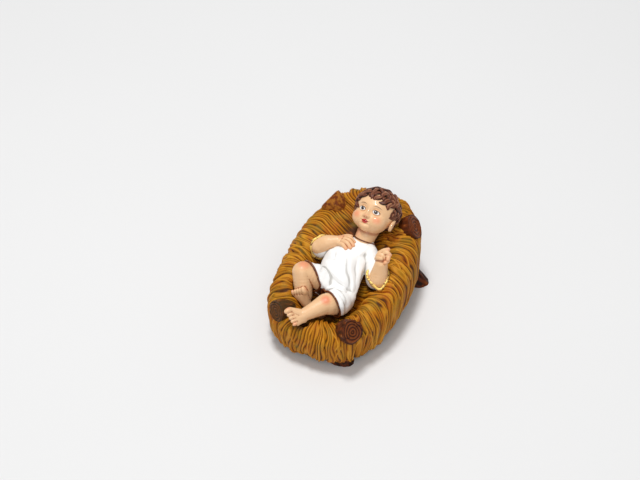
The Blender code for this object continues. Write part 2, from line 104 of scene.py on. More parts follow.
class LogSettings(bpy.types.PropertyGroup):
    radius: length("Log radius", "Half the thickness of a log end", 0.0049)
    length: length("Log length", "Length of a log end with the part in the straw", 0.0100)
    foot_radius: length("Foot radius", "Half the thickness of a log foot", 0.0046)
    foot_length: length(
        "Foot length", "Length of a log foot above the ground, with the part in the straw", 0.0110
    )
    rings: number("Rings", "Growth rings on a sawn end", 4)
    ring_depth: length("Ring depth", "Depth of the grooves between the rings", 0.00030)
    mid: colour("Wood", "Main colour of the logs", (100, 44, 8))
    dark: colour("Wood wash", "Dark wash in the bark and the rings", (38, 14, 3))
    light: colour("Dry wood", "Paint on the crests of bark and rings", (156, 96, 40))


class FigureSettings(bpy.types.PropertyGroup):
    fineness: length("Fineness", "Grid on which the figure's masses are run together", 0.00020)
    skin: colour("Skin", "Main colour of the skin", (236, 192, 146))
    skin_wash: colour("Skin wash", "Wash in the creases of the skin", (168, 96, 58))
    blush: colour("Blush", "Pink on cheeks, knees, toes and fingertips", (232, 122, 84))
    lips: colour("Lips", "Colour of the lips", (196, 60, 54))
    hair: colour("Hair", "Main colour of the hair", (106, 54, 32))
    hair_dark: colour("Hair wash", "Dark wash between the locks", (42, 17, 10))
    hair_light: colour("Dry hair", "Paint on the crests of the locks", (180, 126, 92))
    gown: colour("Gown", "Colour of the gown", (246, 245, 243))
    # grey wash with painted shade in the gown's folds
    gown_wash: colour("Gown wash", "Grey in the folds of the gown", (172, 168, 162))
    gold: colour("Gold", "Edges of sleeves and hem", (240, 204, 112))
    gold_wash: colour("Gold wash", "Brown in the grooves of the edges", (104, 52, 20))


class StageSettings(bpy.types.PropertyGroup):
    floor: colour("Floor", "Colour of the floor", (230, 230, 230))
    sky: amount("Soft light", "Strength of the light from all sides", 0.38)
    key: amount("Key light", "Power of the large lamp", 1.8)


# Surfaces

def unit(vectors):
    """Vectors of length 1 in the same directions."""
    vectors = np.asarray(vectors, float)
    return vectors / np.maximum(np.linalg.norm(vectors, axis=-1, keepdims=True), 1e-12)


def crossways(ahead, hint):
    """Two directions square to ahead and each other: ahead crossed with hint, and ahead crossed with that."""
    side = unit(np.cross(ahead, hint))
    return side, np.cross(ahead, side)


def turns(count):
    """The angles of count even steps round a circle."""
    return 2 * np.pi * np.arange(count) / count


def circle(turn, side, over):
    """Directions at each turn from side towards over."""
    return np.cos(turn)[:, None] * side + np.sin(turn)[:, None] * over


def bell(offset, width):
    """1 in the middle of a bell-shaped curve, falling to 1/e at width."""
    return np.exp(-((offset / width) ** 2))


def smooth_through(points, t):
    """Places at t on a Catmull-Rom curve through points: on each stretch a cubic that leaves and arrives
    in the direction of the neighbouring points. t runs from 0 to the number of stretches."""
    p = np.asarray(points, float)
    p = np.concatenate([p[:1], p, p[-1:]])
    t = np.clip(t, 0, len(points) - 1 - 1e-9)
    i = t.astype(int)
    f = (t - i).reshape(-1, *[1] * (p.ndim - 1))
    a, b, c, d = p[i], p[i + 1], p[i + 2], p[i + 3]
    return 0.5 * (2 * b + (c - a) * f + (2 * a - 5 * b + 4 * c - d) * f**2 + (3 * b - a - 3 * c + d) * f**3)


def along(points, count):
    """Count places spread evenly over the stretches of the smooth curve through points."""
    return smooth_through(points, np.linspace(0, len(points) - 1, count))


def waves(u, v, seed, low, high, count=9):
    """An uneven field of about -1 to 1: a sum of sine waves that make whole turns as u goes from 0 to 1."""
    rng = np.random.default_rng(seed)
    turns = rng.integers(low, high + 1, count) * rng.choice([-1, 1], count)
    rise = rng.uniform(-high, high, count) * 0.5
    start = rng.uniform(0, 1, count)
    parts = [np.sin(2 * np.pi * (a * u + b * v + c)) for a, b, c in zip(turns, rise, start)]
    return sum(parts) / np.sqrt(count / 2)


def chance(numbers, seed):
    """A repeatable random share, 0 to 1, for each whole number."""
    mixed = np.sin(numbers * 12.9898 + seed * 78.233) * 43758.5453
    return mixed - np.floor(mixed)


def ease(value, low, high):
    """0 below low, 1 above high and a smooth step between."""
    share = np.clip((value - low) / (high - low), 0, 1)
    return share * share * (3 - 2 * share)


def skin_over(grid):
    """Vertices and faces of closed tubes given as (tube, row, column, xyz): a quad between each four
    neighbours, the last column joined to the first, and a fan from the middle of each end row."""
    count, rows, columns, _ = grid.shape
    start = np.arange(count)[:, None, None] * rows * columns
    i = np.arange(rows - 1)[None, :, None] * columns
    j = np.arange(columns)[None, None, :]
    k = (j + 1) % columns
    quads = np.stack([start + i + j, start + i + k, start + i + columns + k, start + i + columns + j], -1)
    first = count * rows * columns + np.arange(count)[:, None, None] + 0 * j
    last = start + (rows - 1) * columns
    fans = [np.stack([first, start + k, start + j], -1), np.stack([first + count, last + j, last + k], -1)]
    spots = np.concatenate([grid.reshape(-1, 3), grid[:, 0].mean(1), grid[:, -1].mean(1)])
    return spots, [quads.reshape(-1, 4), *(fan.reshape(-1, 3) for fan in fans)]


def tubes(paths, wide, deep, up, turn, swell):
    """Tubes of ridged elliptic section carried along paths, (tube, row, column, xyz): the path's point plus
    cos(turn) half widths sideways and sin(turn) half depths across, both times the swell at that turn."""
    side, over = crossways(unit(np.gradient(paths, axis=-2)), up)
    x = (wide[..., None] * np.cos(turn) * swell)[..., None]
    y = (deep[..., None] * np.sin(turn) * swell)[..., None]
    return paths[..., None, :] + x * side[..., None, :] + y * over[..., None, :]


def make_mesh(name, spots, faces):
    mesh = bpy.data.meshes.new(name)
    listed = [face for group in faces for face in group.tolist()]
    mesh.from_pydata((np.asarray(spots) * MM).tolist(), [], listed)
    mesh.validate()
    return mesh


def outward(spots, faces):
    """The faces turned over where the closed surface holds a negative volume: the sum over its triangles
    of a third of each one's distance from the origin times its area."""
    volume = 0.0
    for group in faces:
        for k in range(1, group.shape[1] - 1):
            a, b, c = (spots[group[:, i]] for i in (0, k, k + 1))
            volume += np.einsum("ij,ij->", a, np.cross(b, c))
    return [group[:, ::-1] for group in faces] if volume < 0 else faces


def read(items, key, width, kind=float):
    """One value of every item of a mesh, as rows of width numbers."""
    values = np.empty(len(items) * width, kind)
    items.foreach_get(key, values)
    return values.reshape(-1, width)


def link(name, data):
    made = bpy.data.objects.new(name, data)
    bpy.context.scene.collection.objects.link(made)
    return made


def put(name, surface, paint, node, poles=(0.0, 0.0), **fields):
    """Puts a closed surface, (spots, faces), into the scene as a piece that stands for a node, with a number
    for each vertex in each named field. What a field leaves out, the middles of the end rows, has the poles'
    numbers."""
    spots, faces = surface
    mesh = make_mesh(name, spots, outward(spots, faces))
    mesh.shade_smooth()
    for field, values in fields.items():
        left_out = (len(spots) - np.size(values)) // 2
        values = np.concatenate([np.ravel(values), np.repeat(poles, left_out)])
        mesh.attributes.new(field, "FLOAT", "POINT").data.foreach_set("value", values.astype(np.float32))
    mesh.materials.append(paint)
    made = link(name, mesh)
    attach(made, "root")
    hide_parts(node)


# Materials

def joined(operation, swapped=False):
    """An operator that joins an amount to a number or to another amount with one math node."""

    def join(self, other):
        return self.paint.maths(operation, *((other, self) if swapped else (self, other)))

    return join


class Amount:
    """A number that changes over a surface: a socket, with the operators that join it to others."""

    __add__ = __radd__ = joined("ADD")
    __mul__ = __rmul__ = joined("MULTIPLY")
    __sub__ = joined("SUBTRACT")
    __rsub__ = joined("SUBTRACT", True)
    __truediv__ = joined("DIVIDE")
    __pow__ = joined("POWER")

    def __init__(self, paint, socket):
        self.paint = paint
        self.socket = socket

    def ease(self, low, high):
        """0 at low, 1 at high and a smooth step between; low may be the larger one."""
        if low > high:
            return 1 - self.ease(high, low)
        settings = {"interpolation_type": "SMOOTHSTEP"}
        inputs = {"Value": self, "From Min": low, "From Max": high}
        return self.paint.node("ShaderNodeMapRange", settings, inputs)


class Paint:
    """A material in the making: one Principled shader and the nodes that feed it."""

    def __init__(self, name, **even):
        self.material = bpy.data.materials.new(name)
        self.material.use_nodes = True
        self.tree = self.material.node_tree
        self.shader = self.tree.nodes["Principled BSDF"]
        for socket, value in even.items():
            self.shader.inputs[socket.replace("_", " ")].default_value = value
        self.place = self.node("ShaderNodeTexCoord", {}, {}, "Object")

    def node(self, kind, settings, inputs, output=0):
        """Adds one node: its settings first, then a value or a link for each named or numbered socket."""
        made = self.tree.nodes.new(kind)
        for key, value in settings.items():
            setattr(made, key, value)
        for socket, value in inputs.items():
            self.feed(made.inputs[socket], value)
        return Amount(self, made.outputs[output])

    def feed(self, socket, value):
        if isinstance(value, Amount):
            self.tree.links.new(value.socket, socket)
        else:
            socket.default_value = value

    def maths(self, operation, a, b):
        return self.node("ShaderNodeMath", {"operation": operation}, {0: a, 1: b})

    def mix(self, share, a, b):
        """Colour a turning into colour b as share goes from 0 to 1."""
        a, b = (c if isinstance(c, Amount) else (*c, 1.0) for c in (a, b))
        return self.node("ShaderNodeMix", {"data_type": "RGBA"}, {0: share, 6: a, 7: b}, 2)

    def layers(self, tint, *coats):
        """A tint with coats of paint, (share, colour), laid over it in turn."""
        for share, coat in coats:
            tint = self.mix(share, tint, coat)
        return tint

    def field(self, name):
        return self.node("ShaderNodeAttribute", {"attribute_name": name}, {}, "Fac")

    def noise(self, per_mm, detail=3.0):
        """Uneven numbers of 0 to 1 with about per_mm lumps in each millimetre."""
        inputs = {"Vector": self.place, "Scale": per_mm / MM, "Detail": detail, "Roughness": 0.6}
        return self.node("ShaderNodeTexNoise", {}, inputs, "Fac")

    def measure(self, operation, other):
        """Millimetres that a vector operation gives for the place on the surface and another vector."""
        settings = {"operation": operation}
        return self.node("ShaderNodeVectorMath", settings, {0: self.place, 1: other}, "Value") / MM

    def dot(self, direction):
        """Millimetres along a direction from the origin."""
        return self.measure("DOT_PRODUCT", tuple(direction))

    def away(self, spot):
        """Millimetres from a spot that is given in millimetres."""
        return self.measure("DISTANCE", tuple(MM * v for v in spot))

    def finish(self, tint, roughness=None, height=None, distance=0.0002, strength=0.6):
        self.feed(self.shader.inputs["Base Color"], tint)
        if roughness is not None:
            self.feed(self.shader.inputs["Roughness"], roughness)
        if height is not None:
            inputs = {"Strength": strength, "Distance": distance, "Height": height}
            self.feed(self.shader.inputs["Normal"], self.node("ShaderNodeBump", {}, inputs))
        return self.material


# Colours of single coats
GREEN_STRAW = linear(142, 118, 36)
# painted shade: the straw's colour under the figure and under the lip
PAINTED_SHADE_STRAW = linear(44, 18, 4)
RUSTY_WOOD = linear(112, 52, 26)
WARM_WOOD = linear(140, 68, 26)
STRAW_ON_WOOD = linear(182, 116, 36)
OLIVE_WOOD = linear(84, 66, 34)
MOTTLED_SKIN = linear(224, 172, 122)
MOUTH = linear(96, 22, 20)
NOSTRIL = linear(120, 52, 34)
EYE_WHITE = linear(246, 243, 238)
IRIS = linear(70, 42, 26)
PUPIL = linear(16, 10, 8)
# painted highlight: the white spot in each eye
PAINTED_GLINT = linear(255, 255, 255)
UPPER_LID = linear(62, 34, 24)
LOWER_LID = linear(150, 88, 62)
BROW = linear(110, 66, 44)
CLOUDY_GOWN = linear(222, 216, 206)
# dark brown of the hems' turn-in, also used as painted shade between the thighs
HEM_BROWN_AND_SHADE = linear(60, 24, 10)
DARK_HEM = linear(60, 22, 8)
BROWN_HEM = linear(116, 56, 18)

# Sheen of the paints: the straw and the wood are duller than the figure, whose skin has a thin clear coat.
DULL = {"Specular_IOR_Level": 0.18}
SATIN = {"Specular_IOR_Level": 0.45}
COATED = {**SATIN, "Coat_Weight": 0.15}


def straw_paint(nest):
    """Ochre straw, washed brown in the grooves, dry-brushed on the crests, with rust and green patches; painted
    shade darkens it under the figure and under the lip.
    """
    paint = Paint("painted_straw", **DULL)
    straw = paint.field("straw")
    grain = paint.noise(1.6, 4.0)
    patch = paint.noise(0.16, 2.0)
    tone = paint.field("crest") + 0.22 * (grain - 0.5) + 0.16 * (straw - 0.5)
    tint = paint.layers(
        nest.dark,
        (tone.ease(0.08, 0.60), nest.mid),
        ((patch + 0.10 * straw).ease(0.56, 0.76) * 0.50, nest.red),
        ((patch - 0.10 * straw).ease(0.44, 0.28) * 0.40, GREEN_STRAW),
        (tone.ease(0.62, 1.05) * 0.80, nest.light),
        # painted shade under the figure and under the lip, from the field deep
        (paint.field("deep"), PAINTED_SHADE_STRAW),
    )
    return paint.finish(tint, 0.46 + 0.22 * grain, paint.noise(3.4, 4.0), 0.00012, 0.5)


def wood_paint(logs):
    """Dark reddish wood with a black-brown wash in the grooves and a dry brush on the crests. Where the field
    warm is over 0 it is redder, with patches of straw colour, and where it is under 0 it is olive."""
    paint = Paint("painted_wood", **DULL)
    crest = paint.field("crest")
    grain = paint.noise(1.3, 5.0)
    tone = crest + 0.5 * (grain - 0.5)
    warm = paint.field("warm")
    patch = (paint.noise(0.42, 3.0) + 0.15 * crest).ease(0.44, 0.60)
    tint = paint.layers(
        logs.dark,
        (tone.ease(0.10, 0.62), logs.mid),
        (paint.noise(0.3).ease(0.45, 0.75) * 0.5, RUSTY_WOOD),
        (tone.ease(0.64, 1.05) * 0.62, logs.light),
        (warm.ease(0.0, 1.0) * 0.55, WARM_WOOD),
        (warm.ease(0.5, 1.0) * patch * 0.75, STRAW_ON_WOOD),
        (warm.ease(0.0, -1.0) * 0.5, OLIVE_WOOD),
    )
    return paint.finish(tint, 0.38 + 0.25 * grain, grain + 0.6 * paint.noise(4.0), 0.00018, 0.6)


def skin_tint(paint, look, warm_spots):
    """Peach skin with faint mottling, a brown wash in the creases and blush round the given spots."""
    mottle = paint.noise(0.35, 3.0)
    blushes = (
        ((paint.away(spot) + 0.8 * mottle).ease(reach, 0.3 * reach) * strength, look.blush)
        for spot, reach, strength in warm_spots
    )
    wash = paint.field("hollow").ease(0.10, 0.80) * 0.90
    mottled = (mottle.ease(0.35, 0.7) * 0.30, MOTTLED_SKIN)
    return paint.layers(look.skin, mottled, *blushes, (wash, look.skin_wash))


def skin_paint(look, name, warm_spots):
    paint = Paint(name, **COATED)
    grain = paint.noise(1.1, 3.0)
    return paint.finish(skin_tint(paint, look, warm_spots), 0.36 + 0.14 * grain, grain, 0.00008, 0.35)


def face_paint(look):
    """Skin with painted eyes, each with a painted highlight, and brows, lips and cheeks, placed in the head's
    own directions.
    """
    paint = Paint("painted_face", **COATED)
    axes = (HEAD_LEFT, HEAD_UP, HEAD_OUT)
    across, up, out = ((paint.dot(way) - float(way @ SKULL)) / HEAD_SHARE for way in axes)
    front = out.ease(4.0, 5.5)
    aside = paint.maths("ABSOLUTE", across, 0.0)
    grain = paint.noise(1.1, 3.0)

    def oval(x, y, middle, half_sizes):
        """Distance from the middle of an oval in shares of its half sizes."""
        shares = ((x - middle[0]) / half_sizes[0]) ** 2 + ((y - middle[1]) / half_sizes[1]) ** 2
        return paint.maths("SQRT", shares, 0.0)

    cheek = oval(aside, up, (4.6, -3.3), (2.7, 2.3)) + 0.3 * (grain - 0.5)
    nose = oval(across, up, (0.0, -2.9), (1.1, 0.9))
    upper_lip = oval(across, up + 0.16 * across * across, (0.0, -4.72), (1.55, 0.44))
    lips = paint.maths("MINIMUM", upper_lip, oval(across, up, (0.0, -5.42), (1.15, 0.50)))
    lips = lips.ease(1.06, 0.86) * front
    mouth = oval(across, up - 0.05 * across * across, (0.0, -5.07), (1.55, 0.13))
    nostril = oval(aside, up, (0.52, -3.50), (0.28, 0.18))
    white = oval(aside, up, (3.10, -0.38), (1.42, 0.80))
    open_eye = white.ease(1.02, 0.94) * front
    iris = oval(aside, up, (3.02, -0.30), (0.80, 0.80))
    pupil = oval(aside, up, (3.02, -0.30), (0.44, 0.44))
    # painted highlight: a small white spot in each eye
    painted_glint = oval(aside, up, (2.84, -0.02), (0.17, 0.17))
    rim = paint.maths("ABSOLUTE", white - 1.03, 0.0)
    brow = oval(aside, up + 0.14 * (aside - 3.0) ** 2, (3.25, 1.95), (1.75, 0.20))
    tint = paint.layers(
        skin_tint(paint, look, ()),
        (cheek.ease(1.0, 0.15) * front * 0.55, look.blush),
        (nose.ease(1.0, 0.2) * front * 0.30, look.blush),
        (lips, look.lips),
        (mouth.ease(1.2, 0.6) * front * 0.85, MOUTH),
        (nostril.ease(1.2, 0.6) * front * 0.7, NOSTRIL),
        (white.ease(1.04, 0.94) * front, EYE_WHITE),
        (iris.ease(1.06, 0.92) * open_eye, IRIS),
        (pupil.ease(1.1, 0.9) * open_eye, PUPIL),
        (painted_glint.ease(1.1, 0.8) * open_eye, PAINTED_GLINT),
        (rim.ease(0.16, 0.06) * up.ease(-0.55, -0.25) * front, UPPER_LID),
        (rim.ease(0.10, 0.02) * up.ease(-0.30, -0.55) * front * 0.55, LOWER_LID),
        (brow.ease(1.2, 0.6) * front * 0.8, BROW),
    )
    return paint.finish(tint, 0.38 + 0.12 * grain - 0.14 * lips - 0.2 * open_eye, grain, 0.00006, 0.3)


def hair_paint(look):
    """Brown hair, dark between the locks and dry-brushed on their crests."""
    paint = Paint("painted_hair", Specular_IOR_Level=0.3)
    grain = paint.noise(1.8, 4.0)
    tone = paint.field("crest") + 0.35 * (grain - 0.5)
    coats = (tone.ease(0.15, 0.55), look.hair), (tone.ease(0.56, 0.98) * 0.80, look.hair_light)
    tint = paint.layers(look.hair_dark, *coats)
    return paint.finish(tint, 0.36 + 0.2 * grain, paint.noise(4.5), 0.0001, 0.5)


def gown_paint(look):
    """White with a grey wash and painted shade in the folds, a faint warm cast, and brown where the cloth turns
    in under the hems, with painted shade between the thighs.
    """
    paint = Paint("painted_gown", **SATIN)
    cloud = paint.noise(0.22, 3.0)
    tint = paint.layers(
        look.gown,
        (cloud.ease(0.50, 0.80) * 0.16, CLOUDY_GOWN),
        # grey wash with painted shade in the valleys of the folds
        (paint.field("hollow").ease(0.05, 0.60) * 0.85, look.gown_wash),
        # dark brown where the cloth turns in under the hems, and painted shade between the thighs
        (paint.field("under").ease(0.02, 0.14), HEM_BROWN_AND_SHADE),
    )
    return paint.finish(tint, 0.46 + 0.12 * cloud, paint.noise(2.2, 2.0), 0.00005, 0.35)


def gold_paint(look):
    """Gilt that is worn down to brown in spots."""
    paint = Paint("gilt_edge", **SATIN)
    worn = paint.noise(0.9, 4.0)
    tint = paint.mix(worn.ease(0.50, 0.36), look.gold, look.gold_wash)
    paint.feed(paint.shader.inputs["Metallic"], worn.ease(0.36, 0.56) * 0.45)
    return paint.finish(tint, 0.30 + 0.25 * worn, worn, 0.00012, 0.6)


def hem_paint(look):
    """Red-brown paint with a trace of gold."""
    paint = Paint("painted_hem", **SATIN)
    worn = paint.noise(0.7, 4.0)
    coats = ((worn.ease(0.35, 0.60), BROWN_HEM), (worn.ease(0.60, 0.74) * 0.8, look.gold))
    tint = paint.layers(DARK_HEM, *coats)
    return paint.finish(tint, 0.34 + 0.2 * worn, worn, 0.00012, 0.5)


# The straw nest

HEAD_END_POWER = 2.3    # powers of the superellipse; a higher one makes a squarer end
FOOT_END_POWER = 2.9
CORNER_DRAWN_IN = 0.055    # share by which the outline is drawn in at the foot end's left corner
NEST_ASIDE = -0.5
NEST_COLUMNS = 1080
# Shares of the rows of the nest's grid, and the stretch of the section that each one has reached.
ROW_SHARES = (0, 0.05, 0.12, 0.24, 0.38, 0.50, 0.68, 0.78, 0.90, 0.95, 1.0)
ROW_STOPS = (0, 1.0, 2.0, 3.0, 4.0, 5.0, 7.0, 8.0, 9.0, 9.6, 11.0)
NEST_ROWS = 88
BUNDLE_LEAN = 0.6
STRAW_LEAN = 2.5
# Loose straws over the others: places round the rim, lean, share of the places that are taken.
LOOSE_STRAWS = ((126, -4.0, 0.20), (104, 7.0, 0.20), (150, 1.0, 0.34))
LOOSE_RISE = 1.45
TIP_LENGTH = 0.7
RAGGEDNESS = 1.5
# The dent under the left cuff's tip: (x, y), reach and depth.
CUFF_DENT = ((17.6, -8.0), 3.4, 2.6)
ROOM_CELL = 0.4
ROOM_GAP = 0.45

def edge_of(angle, nest):
    """The nest's outline in plan at each angle: a superellipse, squarer at the foot end."""
    c, s = np.cos(angle), np.sin(angle)
    power = 2 / np.where(s > 0, HEAD_END_POWER, FOOT_END_POWER)
    drawn_in = 1 - CORNER_DRAWN_IN * (2 * np.maximum(c, 0) * np.maximum(-s, 0)) ** 2
    x = NEST_ASIDE + nest.half_width / MM * drawn_in * np.sign(c) * np.abs(c) ** power
    return np.stack([x, nest.half_length / MM * np.sign(s) * np.abs(s) ** power], -1)


def even_angles(count, nest):
    """Angles at which the outline is cut into pieces of equal length."""
    angle = np.linspace(0, 2 * np.pi, 40001)
    steps = np.linalg.norm(np.diff(edge_of(angle, nest), axis=0), axis=1)
    walked = np.concatenate([[0], np.cumsum(steps)])
    return np.interp(np.arange(count) / count * walked[-1], walked, angle)


def rim_height(share, nest):
    """Height of the rim at a share of the nest's half length, -1 at the foot end and 1 at the head end."""
    return (nest.rim_foot + (nest.rim_head - nest.rim_foot) * (0.5 + 0.5 * share)) / MM


def bed_height(y):
    """The straw under the figure follows the underside of its trunk and head."""
    rows = [(s[1], s[2] - s[4]) for s in TRUNK] + [(SKULL[1], SKULL[2] - 9.2)]
    return np.interp(y, [row[0] for row in rows], [row[1] - 0.5 for row in rows])


def nest_sections(angle, nest):
    """The section at each angle: the point that it runs from, its direction in plan, and the (reach, height)
    of the bed, wall, roll, outside and underside along it."""
    edge = edge_of(angle, nest)
    spine = np.stack([0 * angle, 0.60 * edge[:, 1]], -1)
    reach = np.linalg.norm(edge - spine, axis=1)
    way = (edge - spine) / reach[:, None]
    roll = nest.roll / MM
    lip = nest.lip / MM
    top = rim_height(edge[:, 1] / (nest.half_length / MM), nest)
    fall = top - lip
    inner = np.maximum(reach - roll, 0.12 * reach)
    foot = np.minimum(bed_height(spine[:, 1] + way[:, 1] * inner) + 0.08 * fall, top - 0.04 * fall)
    middle = np.minimum(bed_height(spine[:, 1] + way[:, 1] * inner * 0.5), foot)
    points = [
        (0.05 * inner, middle),
        (0.55 * inner, middle),
        (inner, foot),
        (reach - 0.74 * roll, foot + 0.70 * (top - foot)),
        (reach - 0.50 * roll, top),
        (reach - 0.22 * roll, top - 0.05 * fall),
        (reach - 0.04 * roll, top - 0.20 * fall),
        (reach, top - 0.42 * fall),
        (reach - 0.04 * roll, top - 0.76 * fall),
        (reach - 0.18 * roll, lip + 0 * fall),
        (reach - 0.36 * roll, lip + 0.03 * fall),
        (0.30 * reach, lip + 0.6 + 0 * fall),
    ]
    return spine, way, np.array(points).transpose(0, 2, 1)


def straw_layer(u, v, count, slant, wander, seed):
    """(number of the straw, place across it from -1 to 1) for straws that lean by slant and wander."""
    phase = count * u + slant * v + wander
    whole = np.floor(phase)
    return np.mod(whole, count) + seed * 1000, 2 * (phase - whole) - 1


def straw_wander(u, v):
    """How far the bundles and the single straws stray to the side."""
    bend = waves(u, v, 3, 2, 7)
    return bend, 0.65 * bend + 0.22 * waves(u, 0.07 * v, 4, 26, 60)


def straw_relief(u, v, nest):
    """(height, crest, straw): bundles, straws and loose straws over them, each a rounded ridge."""
    bend, wander = straw_wander(u, v)
    _, across = straw_layer(u, v, nest.bundles, BUNDLE_LEAN, 0.16 * bend, 1)
    bundle = (1 - across**2) * nest.bundle_depth / MM
    which, across = straw_layer(u, v, nest.straws, STRAW_LEAN, wander, 2)
    ridge = 1 - across**2
    height = ridge * (0.60 + 0.75 * chance(which, 1))
    crest = ridge * (0.55 + 0.45 * chance(which, 3))
    straw = chance(which, 2)
    for k, (count, lean, part) in enumerate(LOOSE_STRAWS):
        lying, across = straw_layer(u, v, count, lean, 0.6 * waves(u, v, 7 + k, 2, 6), 5 + k)
        start = 0.16 + 0.50 * chance(lying, 4)
        end = start + 0.14 + 0.26 * chance(lying, 5)
        there = (chance(lying, 6) < part) * ease(v, start, start + 0.03) * (1 - ease(v, end - 0.03, end))
        over = np.maximum(1 - (across / 0.62) ** 2, 0) * there
        higher = over * LOOSE_RISE > height
        height = np.where(higher, over * LOOSE_RISE, height)
        crest = np.where(higher, over, crest)
        straw = np.where(higher, chance(lying, 7), straw)
    return bundle + height * nest.straw_depth / MM, crest, straw


def underside_of(node, cell, margin):
    """Height of a node's lowest surface over a grid of cells in plan: many points are spread evenly over
    each of its triangles, the lowest in each cell is kept, then each cell takes its lowest neighbour."""
    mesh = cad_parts[node].data
    mesh.calc_loop_triangles()
    spots = read(mesh.vertices, "co", 3) / MM
    a, b, c = spots[read(mesh.loop_triangles, "vertices", 3, int).T]
    steps = np.array([(i, j, 8 - i - j) for i in range(9) for j in range(9 - i)]) / 8
    dots = np.einsum("sk,ktx->stx", steps, np.stack([a, b, c])).reshape(-1, 3)
    low = np.floor(spots.min(0)[:2]) - 2
    size = (np.ceil((dots.max(0)[:2] - low) / cell) + 6).astype(int)
    cells = np.clip(((dots[:, :2] - low) / cell).astype(int), 0, size - 1)
    height = np.full(size, 99.0)
    np.minimum.at(height, (cells[:, 0], cells[:, 1]), dots[:, 2])
    for _ in range(margin):
        height = np.min([np.roll(height, s, axis) for axis in (0, 1) for s in (-1, 0, 1)], axis=0)
    return low, height


def height_over(spots, low, height, cell):
    """The height in the grid of cells over each spot, evenly blended between the four nearest cells."""
    place = np.clip((spots[..., :2] - low) / cell - 0.5, 0, np.array(height.shape) - 1.001)
    whole = place.astype(int)
    f = place - whole
    i, j = whole[..., 0], whole[..., 1]
    x, y = f[..., 0], f[..., 1]
    near = height[i, j] * (1 - x) + height[i + 1, j] * x
    far = height[i, j + 1] * (1 - x) + height[i + 1, j + 1] * x
    return near * (1 - y) + far * y


def ruffle(spots, way, v, which):
    """Moves the straws' tips: ragged and drawn out at the lip, and lifted on the crown of the head end."""
    tip = ease(v, 0.70, 0.81) * (1 - ease(v, 0.86, 0.92))
    ragged = chance(which, 8)
    spots[..., 2] += tip * (TIP_LENGTH - RAGGEDNESS * ragged)
    spots[..., :2] += (way * 0.30)[None] * (tip * ragged)[..., None]
    crown = bell(v - 0.49, 0.05) * ease(spots[..., 1], 29.0, 35.0) * ease(chance(which, 9), 0.15, 0.9)
    half_way_up = unit(np.concatenate([way, np.ones((len(way), 1))], -1))
    spots += (half_way_up * TIP_LENGTH)[None] * crown[..., None]


def press_down(spots, v):
    """Presses the straw down under the left cuff and the figure. Returns the painted shade there, 0 to 1: where
    the straw is pressed, just under the figure, and on its underside beyond the lip.
    """
    (x, y), reach, depth = CUFF_DENT
    dip = np.exp(-(((spots[..., 0] - x) ** 2 + (spots[..., 1] - y) ** 2) / reach**2))
    spots[..., 2] -= depth * dip * (v < 0.55)
    low, under = underside_of("baby", ROOM_CELL, 1)
    room = height_over(spots, low, under, ROOM_CELL) - ROOM_GAP
    pressed = np.maximum(spots[..., 2] - room, 0)
    spots[..., 2] -= pressed
    # painted shade where the straw lies just under the figure
    near = ease(room - spots[..., 2], 3.0, 0.2) * (spots[..., 2] < room + 1) * 0.8
    return np.maximum(np.maximum(ease(pressed, 0.0, 1.2), near), ease(v, 0.84, 0.90))


def straw_nest(nest):
    """The nest as a grid of (row across the section, column round the outline): the section's curve moved out
    along the surface's normal by the straw's relief, with ragged ends at the lip and room for the figure."""
    u = np.arange(NEST_COLUMNS) / NEST_COLUMNS
    v = np.interp(np.linspace(0, 1, NEST_ROWS), ROW_SHARES, ROW_STOPS)
    spine, way, points = nest_sections(even_angles(NEST_COLUMNS, nest), nest)
    curve = smooth_through(points, v)
    spots = np.concatenate([spine + way * curve[..., :1], curve[..., 1:]], -1)
    around = (np.roll(spots, -1, 1) - np.roll(spots, 1, 1)) / 2
    normal = unit(np.cross(np.gradient(spots, axis=0), around))
    u, v = np.meshgrid(u, v / ROW_STOPS[-1])
    relief, crest, straw = straw_relief(u, v, nest)
    shown = ease(v, 0.02, 0.22) * (1 - ease(v, 0.86, 0.93))
    spots += normal * ((relief - 0.95) * shown + 0.10 * waves(u, v, 11, 6, 20) * shown)[..., None]
    which, _ = straw_layer(u, v, nest.straws, STRAW_LEAN, straw_wander(u, v)[1], 2)
    ruffle(spots, way, v, which)
    # painted shade of the straw, kept in the field deep
    deep = press_down(spots, v)
    fields = {"crest": crest * shown, "straw": straw, "deep": deep}
    put("straw_nest", skin_over(spots[None]), straw_paint(nest), "crib", **fields)


# Logs

# The middle of each sawn end in shares of the nest's half width and half length, its height above the rim in
# log radii, its direction, and the log's thickness and warmth: -1 is olive and 1 red-brown.
LOG_ENDS = (
    (0.638, -0.839, 0.35, (0.80, -0.38, 0.46), 1.02, 0.3),
    (-0.623, -0.878, 0.12, (-0.47, -0.83, 0.28), 0.90, -0.8),
    (0.720, 0.630, -0.19, (0.81, 0.24, 0.53), 1.10, 0.4),
    (-0.728, 0.590, 0.28, (-0.85, 0.16, 0.50), 1.00, 1.0),
)
# Where the middle of each foot meets the ground, in shares of half width and half length, and its direction.
LOG_FEET = (
    (0.382, -0.766, (0.66, -0.10, -0.74)),
    (-0.330, -0.735, (-0.66, -0.10, -0.74)),
    (0.750, 0.597, (0.76, -0.08, -0.64)),
    (-0.750, 0.597, (-0.76, -0.08, -0.64)),
)
SAWING_SPARE = 1.1    # how far a foot reaches below the ground, in the least depth that saws it right through
LOG_COLUMNS = 104
BARK_ROWS = 38
FACE_ROWS = 53


